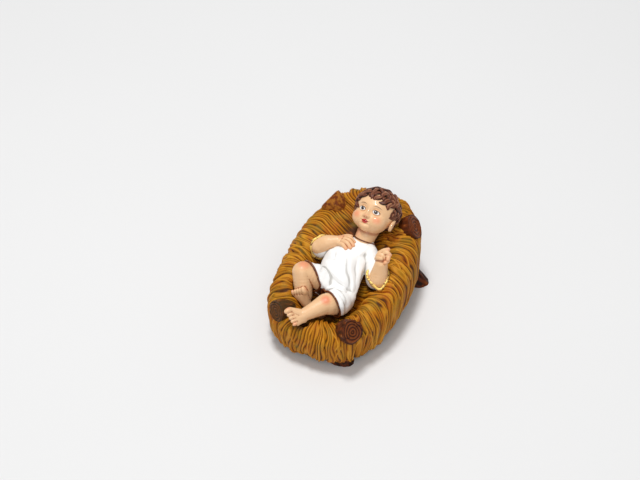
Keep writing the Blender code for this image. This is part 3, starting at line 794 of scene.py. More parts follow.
def log_surface(radius, reach, logs, seed, tapers):
    """(radius, distance along, turn, crest) of a log: low bark ridges along its side, which closes to a round
    point behind if it tapers, then a rounded edge and a sawn end whose height is a wave of growth rings in the
    distance from the middle."""

    def bark_of(turn, way_along):
        ridges = waves(turn, 0.30 * way_along, seed + 1, 5, 13, 10)
        return ridges * (0.55 + 0.45 * waves(turn, 1.6 * way_along, seed + 2, 2, 6, 8))

    def rough(turn, way_along):
        return 1 + 0.025 * waves(turn, 0, seed, 2, 5, 5) + 0.13 / radius * bark_of(turn, way_along)

    u, s = np.meshgrid(np.arange(LOG_COLUMNS) / LOG_COLUMNS, np.sin(np.linspace(0.03, 0.5, BARK_ROWS) * np.pi))
    taper = np.sqrt(np.clip(1 - (1 - s) ** 2, 0, 1)) if tapers else 1.0
    bark = radius * rough(u, s) * taper
    u2, f = np.meshgrid(u[0], 1 - np.linspace(0, 1, FACE_ROWS + 1)[1:] * 0.985)
    rim = radius * (1 + (rough(u2, 1.0) - 1) * f**3)
    wobble = 0.07 * waves(u2, 0.6 * f, seed + 3, 1, 3, 5) + 0.015 * waves(u2, f, seed + 5, 5, 11, 5)
    ring = np.cos(2 * np.pi * (logs.rings * (f + wobble * f)))
    crack = bell(np.mod(u2 * 2 + 0.07 * np.sin(9 * f) + 0.1 * seed, 1) - 0.5, 0.02) * ease(f, 0.2, 0.5)
    rise = 0.5 * logs.ring_depth / MM * ring * ease(f, 0.02, 0.10)
    rise = rise - 0.30 * ease(f, 0.93, 1.0) ** 2 - 0.20 * crack * ease(f, 1.0, 0.9)
    r = np.concatenate([bark, rim * f])
    z = np.concatenate([s * (reach - 0.30), reach + rise - 0.05 - 0.10 * (1 - f) ** 2])
    tone = 0.50 + 0.38 * ring - 0.5 * crack - 0.40 * ease(f, 0.88, 0.95)
    crest = np.concatenate([0.30 + 0.34 * bark_of(u, s), tone])
    return r, z, 2 * np.pi * np.concatenate([u, u2]), crest


def log(name, middle, way, radius, reach, logs, seed, paint, tapers, warm=0.0):
    """One log that runs back into the straw from the middle of its sawn end, cut off flat at the ground."""
    r, z, turn, crest = log_surface(radius, reach, logs, seed, tapers)
    ahead = unit(way)
    side, over = crossways(ahead, (0.1, 1.0, 0.2))
    grid = middle + ahead * (z - reach)[..., None]
    grid = grid + side * (r * np.cos(turn))[..., None] + over * (r * np.sin(turn))[..., None]
    grid = grid - ahead * (np.minimum(grid[..., 2], 0.0) / min(ahead[2], -0.1))[..., None]
    warmth = np.full(crest.size + 2, warm)
    put(name, skin_over(grid[None]), paint, "crib", (0.3, 0.5), crest=crest, warm=warmth)


def upper_logs(nest, logs, paint):
    for k, (across, up_the_nest, above_rim, way, thick, warm) in enumerate(LOG_ENDS):
        height = rim_height(up_the_nest, nest) + above_rim * logs.radius / MM
        middle = (across * nest.half_width / MM, up_the_nest * nest.half_length / MM, height)
        radius = thick * logs.radius / MM
        log(f"log_end_{k + 1}", middle, way, radius, logs.length / MM, logs, 20 + 10 * k, paint, True, warm)


def lower_logs(nest, logs, paint):
    radius = logs.foot_radius / MM
    for k, (across, up_the_nest, way) in enumerate(LOG_FEET):
        way = unit(way)
        sunk = SAWING_SPARE * radius * np.sqrt(1 - way[2] ** 2) / -way[2]
        corner = (across * nest.half_width / MM, up_the_nest * nest.half_length / MM, 0.0)
        middle = np.array(corner) + way * sunk
        reach = logs.foot_length / MM + sunk
        log(f"log_foot_{k + 1}", middle, way, radius, reach, logs, 70 + 10 * k, paint, False)


# The figure's tables, in millimetres

# The trunk's stations: the middle, half the width and half the depth.
TRUNK = (
    (2.2, -19.0, 17.6, 6.0, 5.2),
    (1.8, -15.5, 18.2, 7.1, 6.4),
    (0.2, -11.0, 20.2, 8.8, 6.8),
    (-0.7, -6.0, 22.4, 9.4, 6.7),
    (-0.5, -1.0, 24.4, 9.1, 6.4),
    (0.8, 3.6, 26.0, 8.0, 5.4),
    (2.4, 6.4, 27.0, 6.2, 4.5),
    (3.0, 8.2, 28.0, 5.2, 3.5),
)
SKULL = Vector((4.0, 17.4, 37.5))
HEAD_SHARE = 1.01
HEAD_LEFT = Vector((0.994, -0.095, 0.052)).normalized()
HEAD_UP = Vector((0.046, 0.804, 0.598)).normalized()
HEAD_OUT = HEAD_LEFT.cross(HEAD_UP).normalized()
HEAD_AXES = np.array([HEAD_LEFT, HEAD_UP, HEAD_OUT])
# Limbs as (x, y, z, half thickness).
NECK = ((2.4, 6.5, 26.6, 4.2), (3.2, 10.5, 31.0, 4.3), (3.8, 14.0, 34.0, 4.8))
RIGHT_SLEEVE = ((-5.6, 4.0, 26.6, 4.0), (-9.6, 2.6, 25.8, 4.0), (-12.8, 0.8, 25.2, 4.0))
RIGHT_FOREARM = ((-13.3, 0.2, 26.5, 3.5), (-10.4, 1.4, 28.9, 3.2), (-6.6, 2.7, 30.3, 2.3))
LEFT_SLEEVE = ((6.6, 5.0, 27.0, 3.9), (10.6, 1.2, 24.4, 4.0), (13.6, -2.4, 21.4, 4.4))
LEFT_FOREARM = ((14.9, -3.7, 23.2, 4.1), (15.1, -2.5, 27.0, 3.3), (15.2, -1.7, 30.2, 2.7))
RIGHT_THIGH = ((-3.4, -12.2, 19.6, 4.6), (-8.4, -13.8, 23.8, 4.4), (-13.2, -15.8, 27.0, 4.1))
RIGHT_SHIN = ((-13.4, -16.2, 27.0, 4.1), (-11.9, -18.6, 22.6, 3.9), (-10.3, -20.4, 18.2, 3.2))
LEFT_THIGH = ((4.2, -16.6, 18.6, 4.8), (3.6, -20.4, 20.2, 4.9), (2.0, -23.3, 21.8, 4.6))
LEFT_SHIN = ((1.0, -24.3, 22.2, 4.3), (-1.9, -28.6, 21.8, 3.3), (-5.0, -32.6, 21.0, 2.6))
RIGHT_HEM = ((-2.6, -12.6, 19.2, 5.4), (-6.6, -13.4, 22.4, 5.3), (-10.0, -14.4, 24.8, 4.9))
LEFT_HEM = ((4.2, -16.6, 18.6, 5.6), (4.3, -19.4, 19.6, 5.5), (3.6, -21.8, 20.6, 5.2))
# Feet as heel, ankle, big toe and little toe.
RIGHT_FOOT = ((-8.6, -22.6, 17.0), (-9.9, -20.6, 18.4), (-9.2, -22.4, 23.1), (-14.3, -23.5, 21.0))
LEFT_FOOT = ((-4.9, -33.4, 20.0), (-4.6, -32.5, 21.0), (-10.3, -35.1, 24.4), (-6.0, -37.8, 20.0))
# Half the width of each toe, from the big one to the little one.
TOES = (1.50, 1.20, 1.10, 1.00, 0.92)
RIGHT_PALM = ((-5.0, 3.1, 30.9), (2.7, 2.8, 1.6))
RIGHT_FINGERS = (
    ((-3.6, 4.9, 31.7), (-1.6, 5.0, 32.0), (0.6, 4.2, 31.2)),
    ((-3.4, 3.6, 32.1), (-1.2, 3.4, 32.3), (1.0, 2.3, 31.4)),
    ((-3.6, 2.3, 31.9), (-1.6, 1.8, 32.1), (0.4, 0.7, 31.3)),
    ((-4.3, 1.1, 31.3), (-2.8, 0.6, 31.6), (-1.2, -0.3, 31.0)),
    ((-5.6, 5.2, 30.6), (-3.8, 6.4, 31.0), (-2.0, 6.8, 31.2)),
)
LEFT_PALM = ((14.8, -0.4, 32.4), (2.8, 1.9, 2.9))
LEFT_FINGERS = (
    ((13.4, 0.4, 34.0), (15.1, 1.1, 35.5), (16.7, 1.8, 36.2)),
    ((14.8, 0.3, 34.4), (16.6, 0.6, 35.4), (18.0, 0.4, 34.9)),
    ((16.0, -0.2, 33.8), (17.6, -0.2, 34.3), (18.0, -1.4, 33.8)),
    ((16.6, -0.8, 32.6), (17.8, -1.1, 32.8), (17.2, -2.2, 32.4)),
    ((12.8, -0.9, 31.8), (13.8, -1.9, 33.4), (15.4, -2.2, 34.0)),
)
FINGER = 0.98    # half the thickness of a finger at its root
# Folds of the gown seen from above: ((x, y) points, height of the ridge, half width, lean of -1 to 1).
FOLDS = (
    (((1.6, -1.0), (2.4, -4.0), (3.8, -7.6), (6.0, -10.2), (7.4, -12.8), (8.4, -16.0)), 1.05, 1.1, -0.6),
    (((7.6, 1.6), (7.4, -5.0), (8.2, -9.4), (9.0, -13.6), (9.2, -18.4)), 1.00, 1.0, 0.6),
    (((-7.6, -6.6), (-3.0, -10.4), (1.2, -12.6), (6.0, -14.0)), 0.80, 1.2, -0.6),
    (((-5.6, -16.8), (-1.0, -17.2), (3.2, -16.6), (6.4, -15.8)), 0.95, 0.9, -0.6),
    (((0.0, -18.6), (4.6, -19.6), (8.6, -21.6)), 0.95, 1.0, 0.6),
    (((3.0, -20.6), (6.2, -22.0), (8.8, -24.6)), 0.95, 0.9, 0.6),
    (((-8.4, -0.6), (-5.8, -3.2), (-4.4, -6.4)), 0.70, 1.1, 0.6),
    (((6.6, 6.0), (5.8, 2.4), (4.4, -1.0)), 0.50, 1.0, 0.5),
    (((-3.0, 1.4), (-2.0, -2.6), (-1.6, -6.4)), 0.40, 1.1, 0.4),
    (((-8.6, -9.0), (-7.4, -12.2), (-6.6, -14.6)), 0.60, 0.9, 0.5),
)
# Where the gown ends on each thigh: (limb, a point of the hem's plane, the direction of its bare side).
HEMS = (
    (RIGHT_THIGH, (-8.47, -15.14, 27.99), (-0.514, -0.846, 0.143)),
    (LEFT_THIGH, (3.13, -22.44, 24.0), (-0.504, -0.864, 0.001)),
)
# The place between the thighs where the brown of both hems runs together as painted shade, and how far it
# reaches.
CROTCH = ((-3.9, -19.6, 20.6), 3.3)
# The edge of the gown round the neck: a point of its plane and the direction of the bare neck.
NECKLINE = ((2.9, 6.4, 31.6), (0.10, 0.62, 0.78))


# Rounded masses that are run together

BALL_STEP = 0.30    # between two balls of a limb, in shares of the thinnest one's half thickness
GOWN_SMOOTHING = 12
HEM_DEPTH = 2.3    # how far the cloth is sunk where a thigh is bare
FOLD_POINTS = 24

def ball(centre, radii, axes=np.eye(3)):
    """(centre, matrix) of one rounded mass; the matrix holds its axes times its half sizes."""
    return np.array([centre], float), (np.array(axes, float).T * np.array(radii, float))[None]


def limb(joints, step=BALL_STEP):
    """A close row of balls on the curve through joints given as (x, y, z, half thickness)."""
    joints = np.array(joints, float)
    reach = np.linalg.norm(np.diff(joints[:, :3], axis=0), axis=1).sum()
    row = along(joints, max(3, int(reach / (step * joints[:, 3].min()))))
    return row[:, :3], np.eye(3) * row[:, 3, None, None]


def round_grid(rows, columns):
    """(polar angle, points) of a grid over a ball of radius 1 whose poles are on the z axis."""
    polar, turn = np.meshgrid(np.linspace(0, np.pi, rows)[1:-1], turns(columns), indexing="ij")
    return polar, np.stack([np.sin(polar) * np.cos(turn), np.sin(polar) * np.sin(turn), -np.cos(polar)], -1)


def run_together(name, masses, fineness, smoothing):
    """One closed surface round many balls: each is a copy of the same round grid, the copies are remeshed on
    a grid of cubes and the result is smoothed. Returns vertices, faces, normals and edges."""
    spots, faces = skin_over(round_grid(13, 18)[1][None])
    spots[-2:] = ((0, 0, -1), (0, 0, 1))
    centres, shapes = (np.concatenate(part) for part in zip(*masses))
    placed = (np.einsum("nij,kj->nki", shapes, spots) + centres[:, None]).reshape(-1, 3)
    starts = len(spots) * np.arange(len(centres))[:, None, None]
    copies = [(face + starts).reshape(-1, face.shape[1]) for face in faces]
    rough = link(name, make_mesh(name, placed, copies))
    fuse = rough.modifiers.new("fuse", "REMESH")
    fuse.mode = "VOXEL"
    fuse.voxel_size = fineness
    soften = rough.modifiers.new("soften", "SMOOTH")
    soften.factor = 0.5
    soften.iterations = smoothing
    fused = bpy.data.meshes.new_from_object(rough.evaluated_get(bpy.context.evaluated_depsgraph_get()))
    bpy.data.objects.remove(rough)
    spots = read(fused.vertices, "co", 3) / MM
    normals = read(fused.vertex_normals, "vector", 3)
    corners = read(fused.loops, "vertex_index", 1, int).reshape(-1, 4)
    edges = read(fused.edges, "vertices", 2, int)
    bpy.data.meshes.remove(fused)
    return spots, [corners], normals, edges


def spread(values, edges, rounds):
    """Values evened out over the surface: each round a point takes the mean of itself and its neighbours."""
    ends = edges.T.ravel()
    others = edges[:, ::-1].T.ravel()
    count = np.bincount(ends, minlength=len(values)) + 1
    for _ in range(rounds):
        values = (values + np.bincount(ends, values[others], len(values))) / count
    return values


def hollowness(spots, normals, edges, rounds):
    """How far the surroundings of a point lie in front of it, in millimetres: the evened-out place of the
    surface minus the point, along the normal."""
    calm = np.stack([spread(spots[:, k], edges, rounds) for k in range(3)], -1)
    return spread(np.einsum("ij,ij->i", calm - spots, normals), edges, 2)


def fold_relief(spots):
    """Height of the gown's folds: a ridge exp(-(distance / width) squared) along each fold line, steep on the
    side that the sign of its lean gives and wide on the other, which fades towards both ends of the line."""
    total = np.zeros(len(spots))
    for line, rise, half_width, lean in FOLDS:
        path = along(line, FOLD_POINTS)
        best = np.full(len(spots), 1e9)
        signed, ends = np.zeros((2, len(spots)))
        for k, (a, b) in enumerate(zip(path[:-1], path[1:])):
            way = b - a
            from_a = spots[:, :2] - a
            share = np.clip(from_a @ way / (way @ way), 0, 1)
            near = np.hypot(*(from_a - share[:, None] * way).T)
            closer = near < best
            best = np.where(closer, near, best)
            signed = np.where(closer, np.sign(way[0] * from_a[:, 1] - way[1] * from_a[:, 0]) * near, signed)
            ends = np.where(closer, (k + share) / (FOLD_POINTS - 1), ends)
        fade = ease(ends, -0.02, 0.30) * ease(1 - ends, -0.02, 0.25)
        steep = signed * np.sign(lean) > 0
        width = half_width * np.where(steep, 1 - 0.5 * abs(lean), 1 + 1.2 * abs(lean))
        total = np.maximum(total, fade * rise * bell(best, width))
    return total


def sink(spots, normals, limb_row, middle, bare):
    """The spots near a limb that lie beyond a plane, given by its middle and its bare side, moved in: the cloth
    ends at the plane in a step and the skin shows beyond it. Returns the share moved as well."""
    row = along(limb_row, 30)
    gaps = np.linalg.norm(spots[:, None] - row[None, :, :3], axis=2) - row[:, 3]
    share = ease((spots - middle) @ unit(bare), -0.05, 0.25) * (1 - ease(gaps.min(axis=1), 1.8, 2.8))
    return spots - normals * (HEM_DEPTH * share)[:, None], share


def gown_share(spots):
    """1 on the front of the gown and 0 on its underside and sides."""
    stations = along(TRUNK, 60)
    nearest = stations[np.abs(spots[:, 1][:, None] - stations[:, 1]).argmin(axis=1)]
    aside = np.abs(spots[:, 0] - nearest[:, 0]) / nearest[:, 3]
    front = ease(spots[:, 2] - nearest[:, 2], 0.0, 2.0)
    return front * (1 - ease(aside, 1.05, 1.30)) * (1 - ease(spots[:, 1], 6.0, 8.5))


def gown_masses():
    """Trunk, sleeves, and the cloth over both thighs."""
    row = along(TRUNK, 44)
    parts = [(row[:, :3], np.stack([np.diag([w, 2.4, d]) for w, d in row[:, 3:]]))]
    for thigh in (RIGHT_THIGH, LEFT_THIGH):
        parts.append(limb([(x, y, z, size + 0.55) for x, y, z, size in along(thigh, 8)[:-1]]))
    return parts + [limb(row) for row in (RIGHT_SLEEVE, LEFT_SLEEVE, RIGHT_HEM, LEFT_HEM)]


def gown(look):
    """The gown: trunk, sleeves and hems run together, then lifted and creased along the fold lines."""
    spots, faces, normals, edges = run_together("gown", gown_masses(), look.fineness * 1.25, GOWN_SMOOTHING)
    spots = spots + normals * (fold_relief(spots) * gown_share(spots))[:, None]
    # hollowness over a wide stretch: the grey wash with painted shade in the fold valleys
    hollow = hollowness(spots, normals, edges, 36) / 0.34
    under = np.zeros(len(spots))
    for thigh, middle, bare in HEMS:
        spots, share = sink(spots, normals, thigh, middle, bare)
        under = np.maximum(under, share)
    # painted shade between the thighs, in the hems' dark brown
    middle, reach = CROTCH
    under = np.maximum(under, 0.3 * ease(reach - np.linalg.norm(spots - middle, axis=1), 0.0, 0.8))
    put("gown", (spots, faces), gown_paint(look), "baby", hollow=hollow, under=under)


def skin_piece(name, parts, look, warm_spots, shaded, fineness=0.9, smoothing=4):
    """Masses run together as skin, with a wash in the creases and near each shaded (spot, reach, share)."""
    spots, faces, normals, edges = run_together(name, parts, look.fineness * fineness, smoothing)
    hollow = hollowness(spots, normals, edges, 10) / 0.07
    for spot, reach, share in shaded:
        gap = np.linalg.norm(spots - np.array(spot), axis=1)
        hollow = np.maximum(hollow, share * ease(reach - gap, 0.0, 1.2))
    put(name, (spots, faces), skin_paint(look, f"{name}_skin", warm_spots), "baby", hollow=hollow)


def hand(palm, fingers):
    """A palm with four fingers and a thumb, each given by its root, knuckle and tip."""
    sizes = (FINGER, 0.96 * FINGER, 0.84 * FINGER)
    return [ball(*palm)] + [limb([(*p, size) for p, size in zip(finger, sizes)], 0.5) for finger in fingers]


def arms(look):
    warm = [(RIGHT_FINGERS[k][2], 2.2, 0.35) for k in range(4)] + [((-5.0, 4.4, 32.0), 3.0, 0.30)]
    skin_piece("right_arm", [limb(RIGHT_FOREARM), *hand(RIGHT_PALM, RIGHT_FINGERS)], look, warm, ())
    warm = [(LEFT_FINGERS[k][2], 2.0, 0.45) for k in range(4)] + [((15.0, -1.8, 33.0), 2.4, 0.35)]
    skin_piece("left_arm", [limb(LEFT_FOREARM), *hand(LEFT_PALM, LEFT_FINGERS)], look, warm, ())


def foot(heel, ankle, big, little):
    """(masses, shaded spots) of a foot: a wedge of flattened balls from the round heel to the row of toes, an
    instep and five toes, with a dark wash between the roots of neighbouring toes."""
    heel, ankle, big, little = (np.array(p) for p in (heel, ankle, big, little))
    tips = (big + little) / 2
    across = unit(big - little)
    ahead = unit(tips - heel - across * ((tips - heel) @ across))
    axes = np.array([across, ahead, np.cross(across, ahead)])
    half = np.linalg.norm(big - little) / 2
    parts = []
    for s in np.linspace(0, 1, 13):
        wide = 2.1 + (half + 0.5 - 2.1) * s**1.3
        parts.append(ball(heel + 0.80 * s * (tips - heel), (wide, 1.8 - 0.6 * s, 2.2 - 0.9 * s), axes))
    for s in np.linspace(0, 1, 7):
        spot = ankle + s * (heel + 0.45 * (tips - heel) - ankle)
        parts.append(ball(spot, (2.5 - 0.6 * s, 2.4 - 0.6 * s, 2.3 - 0.6 * s), axes))
    for s in np.linspace(0, 1, 9):
        sizes = (2.3 - 1.2 * s, 2.1 - 0.8 * s, 2.1 - 0.9 * s)
        parts.append(ball(ankle + 0.9 * s * (big - ankle), sizes, axes))
    centres = []
    for k, size in enumerate(TOES):
        share = 0.05 + 0.90 * (k + 0.15 * (k > 0)) / 4.15
        centres.append(big + share * (little - big) + ahead * (0.35 - 0.06 * k))
        parts.append(ball(centres[-1], (size * 0.80, size * 1.45, size * 0.95), axes))
    roots = [(a + b) / 2 - 0.75 * ahead for a, b in zip(centres, centres[1:])]
    return parts, [(root + rise * axes[2], 1.0, 0.9) for root in roots for rise in (-0.85, 0.85)]


def legs(look):
    warm = [
        ((-13.0, -15.2, 31.0), 4.2, 0.60), ((-9.4, -21.8, 24.2), 2.0, 0.40), ((-14.2, -23.2, 22.0), 2.0, 0.35)
    ]
    parts, gaps = foot(*RIGHT_FOOT)
    skin_piece("right_leg", [limb(RIGHT_THIGH), limb(RIGHT_SHIN), *parts], look, warm, gaps)
    warm = [
        ((1.6, -25.6, 26.4), 3.6, 0.75), ((-10.8, -35.4, 25.2), 2.2, 0.45), ((-6.2, -38.4, 20.4), 2.2, 0.40)
    ]
    parts, gaps = foot(*LEFT_FOOT)
    skin_piece("left_leg", [limb(LEFT_THIGH), limb(LEFT_SHIN), *parts], look, warm, gaps)


# The head

# The jaw's masses, a little larger, shade the neck round them.
SHADED_NECK = (((4.0, 14.2, 37.0), 7.7, 0.6), ((4.1, 12.4, 38.2), 6.4, 0.6))
# The middle and half sizes of the skull, face, cheeks and chin in the head's own directions.
HEAD_MIDDLE = (0.0, -0.5, 0.0)
HEAD_MASSES = (
    ((0.0, 1.6, -0.6), (8.7, 8.0, 8.8)),
    ((0.0, -3.0, 1.6), (7.2, 5.6, 6.2)),
    ((3.3, -3.6, 3.8), (3.9, 3.7, 3.9)),
    ((-3.3, -3.6, 3.8), (3.9, 3.7, 3.9)),
    ((0.0, -6.5, 4.4), (2.7, 2.2, 2.6)),
)
HEAD_COLUMNS = 288
HEAD_ROWS = 230
EAR_GRID = (42, 56)
# (name, side, how far out the middle of the ear lies)
EARS = (("left_ear", 1, 8.45), ("right_ear", -1, 7.75))
HAIR_CAP = ((0.0, 2.2, -1.2), (9.0, 8.2, 8.9))
# The hairline: turns from the middle of the face in degrees, and the hair's end in degrees from the crown.
HAIR_TURNS = (-180, -125, -100, -84, -62, -40, 0, 40, 60, 76, 88, 104, 112, 128, 180)
HAIR_ENDS = (122, 118, 112, 104, 84, 62, 52, 56, 70, 82, 84, 84, 108, 118, 122)
LOCK_WIDTH = 1.15
LOCK_DEPTH = 0.62
LOCK_COLUMNS = 18


def exit_distance(ways, centre, radii):
    """Distance from the head's middle along each way to where it leaves an ellipsoid or passes nearest."""
    radii = np.array(radii)
    gap = np.subtract(HEAD_MIDDLE, centre) / radii
    d = ways / radii
    a = np.einsum("...i,...i->...", d, d)
    b = d @ gap
    inside = np.maximum(b * b - a * (gap @ gap - 1), 0)
    return (np.sqrt(inside) - b) / a


def head_reach(ways):
    """The head's radius in each direction: a smooth maximum, log of the sum of exp(4 x distance) over 4, of
    the distances at which the direction leaves each rounded mass."""
    return np.log(sum(np.exp(4 * (exit_distance(ways, *mass) - 8.0)) for mass in HEAD_MASSES)) / 4 + 8.0


def bump(x, y, wide, high):
    """1 in the middle of an oval bell-shaped bump."""
    return np.exp(-((x / wide) ** 2) - (y / high) ** 2)


def face_relief(across, up):
    """Height of the features over the face, in millimetres, from sums of bell-shaped bumps and ridges in the
    face's own (across, up) directions, on the proportions of an infant's head."""
    aside = np.abs(across)
    lid = np.maximum(1 - ((aside - 3.1) / 1.62) ** 2, 0)
    eyeball = np.maximum(1 - ((aside - 3.1) / 1.6) ** 2 - ((up + 0.40) / 1.15) ** 2, 0)
    total = -0.80 * bump(aside - 3.0, up + 0.35, 2.1, 1.5)
    total += 0.28 * bump(aside - 3.2, up - 2.1, 2.6, 0.9)
    total += 0.80 * np.sqrt(eyeball)
    total += 0.22 * bell(up + 0.42 - 0.95 * lid, 0.20) * lid**0.4
    total -= 0.16 * bell(up - 0.05 - 0.95 * lid, 0.22) * lid**0.6
    total += 0.14 * bell(up + 0.42 + 0.86 * lid, 0.18) * lid**0.4
    levels = (-4.3, -3.75, -3.35, -2.85, -2.0, -0.5, 1.0, 2.5)
    nose_height = np.interp(up, levels, (0, 0.35, 1.25, 1.65, 1.10, 0.45, 0.22, 0))
    nose_width = np.interp(up, (-3.5, -2.8, -1.5, 1.5), (0.95, 1.00, 0.72, 0.80))
    total += nose_height * bell(across, nose_width)
    total += 0.62 * bump(aside - 1.05, up + 3.15, 0.52, 0.48)
    total -= 0.35 * bump(aside - 0.50, up + 3.62, 0.26, 0.22)
    upper_lip = np.maximum(1 - (across / 1.85) ** 2, 0) ** 0.7
    lower_lip = np.maximum(1 - (across / 1.5) ** 2, 0) ** 0.7
    total += 0.42 * bell(up + 4.72 + 0.10 * bell(across, 0.35), 0.36) * upper_lip
    total += 0.55 * bell(up + 5.46, 0.44) * lower_lip
    total -= 0.34 * bell(up + 5.07 - 0.05 * across**2, 0.13) * upper_lip
    total -= 0.22 * bump(aside - 1.85, up + 5.0, 0.35, 0.35)
    total -= 0.16 * bump(across, up + 4.1, 0.30, 0.45)
    total -= 0.25 * bump(across, up + 6.2, 1.4, 0.42)
    return total + 0.28 * bump(across, up + 7.2, 1.5, 1.0)


def in_head(places):
    """Places given in the head's own (left, up, out) turned into the object's."""
    return np.array(SKULL) + HEAD_SHARE * (np.asarray(places) @ HEAD_AXES)


def head_surface():
    """The head as a radius for each (turn, tilt) seen from its middle, with the features raised towards the
    front; turns and tilts lie closest together on the face."""
    turn = np.linspace(-np.pi, np.pi, HEAD_COLUMNS + 1)[:-1]
    rows = np.linspace(0, 1, HEAD_ROWS + 2)[1:-1]
    tilt = np.radians(np.interp(rows, [0, 0.12, 0.80, 1], [-90, -66, 26, 90]))
    turn, tilt = np.meshgrid(turn - 0.58 * np.sin(turn), tilt)
    ways = np.stack([np.cos(tilt) * np.sin(turn), np.sin(tilt), np.cos(tilt) * np.cos(turn)], -1)
    places = ways * head_reach(ways)[..., None] + HEAD_MIDDLE
    relief = face_relief(places[..., 0], places[..., 1]) * ease(places[..., 2], 2.0, 5.0)
    places[..., 2] += relief
    return places, relief


def ear(side, aside):
    """(grid, wash) of an ear: a flattened ball whose outer face is raised to a rim and hollowed into a bowl."""
    polar, grid = round_grid(*EAR_GRID)
    x, y, z = np.moveaxis(grid, -1, 0)
    rho = np.sin(polar)
    outer = polar > np.pi / 2
    rim = 0.42 * bell(rho - 0.84, 0.14) * (1 - 0.6 * np.exp(-((x - 0.75) ** 2 + (y - 0.1) ** 2) / 0.12))
    bowl = -0.75 * np.exp(-((x - 0.12) ** 2 + (y + 0.15) ** 2) / 0.10)
    fold = 0.28 * bell(np.hypot(x - 0.1, y - 0.05) - 0.52, 0.10) * (x < 0.35)
    raised = outer * (rim + bowl + fold)
    local = np.stack([x * 1.85 * (1 + 0.22 * y), y * 2.75, 1.15 * (0.55 * z + raised)], -1)
    forward = unit((0.30, 0.10, 1.0))
    away = np.cross(unit((0.10, 1.0, 0.05)), forward)
    places = local @ np.array([forward, np.cross(away, forward), away]) + (aside, -2.3, -0.3)
    return places * (side, 1, 1), np.clip(-1.8 * raised + 0.5 * outer * (rho > 0.95), 0, 1)


def head(look):
    """Head, ears and neck."""
    places, relief = head_surface()
    hollow = np.maximum(-relief - 0.45, 0) * 0.8
    put("head", skin_over(in_head(places)[None]), face_paint(look), "baby", hollow=hollow)
    skin = skin_paint(look, "ear_skin", ())
    for name, side, aside in EARS:
        grid, hollow = ear(side, aside)
        put(name, skin_over(in_head(grid)[None]), skin, "baby", hollow=hollow)
    skin_piece("neck", [limb(NECK)], look, (((0.5, 9.0, 33.0), 3.5, 0.35),), SHADED_NECK, 1.3, 10)


def hairline(turn):
    """Tilt from the crown, in radians, at which the hair ends: high on the forehead, low at the nape."""
    turned = np.degrees(np.angle(np.exp(1j * turn)))
    return np.radians(np.interp(turned, HAIR_TURNS, HAIR_ENDS))


def hair_way(turn, drop):
    """Directions from the head's middle, by turn from the face and drop from the crown."""
    return np.stack([np.sin(drop) * np.sin(turn), np.cos(drop), np.sin(drop) * np.cos(turn)], -1)


def hair_reach(ways):
    """Distance from the head's middle to the hair's own surface in each direction."""
    return np.maximum(exit_distance(ways, *HAIR_CAP), 0)


def hair_cap(paint):
    """A combed cap that dips under the skin beyond the hairline."""
    turn, drop = np.meshgrid(turns(150), np.linspace(0, np.pi, 92)[1:-1][::-1])
    ways = hair_way(turn, drop)
    on = 1 - ease(drop - hairline(turn), -0.06, 0.10)
    comb = waves(turn / (2 * np.pi), drop, 5, 20, 46, 12)
    lift = on * (hair_reach(ways) + 0.06 * comb - 0.25) + (1 - on) * (head_reach(ways) - 1.2)
    surface = skin_over(in_head(ways * lift[..., None] + HEAD_MIDDLE)[None])
    put("hair_cap", surface, paint, "baby", (0.3, 0.3), crest=0.36 + 0.22 * comb)


def lock_roots(rng):
    """(turn, drop) of each lock's root: rows round the crown, a little uneven, inside the hairline."""
    roots = []
    for k, drop in enumerate(np.radians(np.arange(6, 132, 11.5))):
        count = max(5, int(9.0 * 2 * np.pi * np.sin(drop) / 1.9))
        roots.append(np.stack([turns(count) + np.pi * (k % 2) / count, np.full(count, drop)], -1))
    roots = np.concatenate(roots)
    roots = roots + rng.normal(0, 0.035, roots.shape)
    return roots[roots[:, 1] < hairline(roots[:, 0]) - 0.16]


def hair(look):
    """Short wavy locks: a cap, and on it rows of locks, each a flat tapering tube with combed ridges that runs
    down the head from its root and curls at its tip."""
    paint = hair_paint(look)
    hair_cap(paint)
    rng = np.random.default_rng(12)
    turn, drop = np.split(lock_roots(rng), 2, axis=1)
    count = len(turn)
    s = np.linspace(0, 1, 15)[None, :]
    run = np.minimum(rng.uniform(0.36, 0.50, (count, 1)), np.maximum(hairline(turn) + 0.12 - drop, 0.26))
    curl = rng.normal(0.0, 0.17, (count, 1)) + 0.16 * np.sin(3 * turn)
    drop = drop + run * s - 0.10 * s**3 * np.abs(curl) * 4
    sway = 0.05 * np.sin(7 * s + 6 * chance(np.arange(count)[:, None], 3))
    turn = turn + (curl * (s + 1.2 * s**3) + sway) / np.maximum(np.sin(drop), 0.25)
    ways = hair_way(turn, drop)
    arch = 0.36 * np.sin(np.pi * s) - 0.30 * s**2 + 0.26 * rng.uniform(-1, 1, (count, 1))
    paths = ways * (hair_reach(ways) + arch)[..., None] + HEAD_MIDDLE
    size = np.sqrt(1 - (2 * s - 1) ** 8) * (1.0 - 0.55 * s**2) * rng.uniform(0.85, 1.15, (count, 1))
    around = turns(LOCK_COLUMNS)
    comb = np.cos(6 * around + 1.2)
    grid = tubes(paths, LOCK_WIDTH * size + 0.03, LOCK_DEPTH * size + 0.03, ways, around, 1 + 0.16 * comb)
    height = np.einsum("tsci,tsi->tsc", grid - paths[..., None, :], ways) / 0.7
    tone = 0.20 + 0.62 * np.clip(height, 0, 1) + 0.14 * comb + 0.12 * rng.uniform(-1, 1, (count, 1, 1))
    put("hair_locks", skin_over(in_head(grid)), paint, "baby", (0.2, 0.2), crest=tone)


# Cuffs and gilt edges

# The profile of a cuff, from its back over the rim to its inside: shares of its depth and distances outwards.
CUFF_PROFILE = (
    (-1.0, -0.9), (-0.62, -0.35), (-0.28, -0.05), (-0.05, 0.05), (0.0, -0.15), (-0.08, -0.40), (-0.33, -0.75),
    (-0.76, -1.6),
)
CUFF_COLUMNS = 96
CUFF_ROWS = 40
FURTHEST_CUT = 7.0    # from a limb's curve to a ring that is cut round it


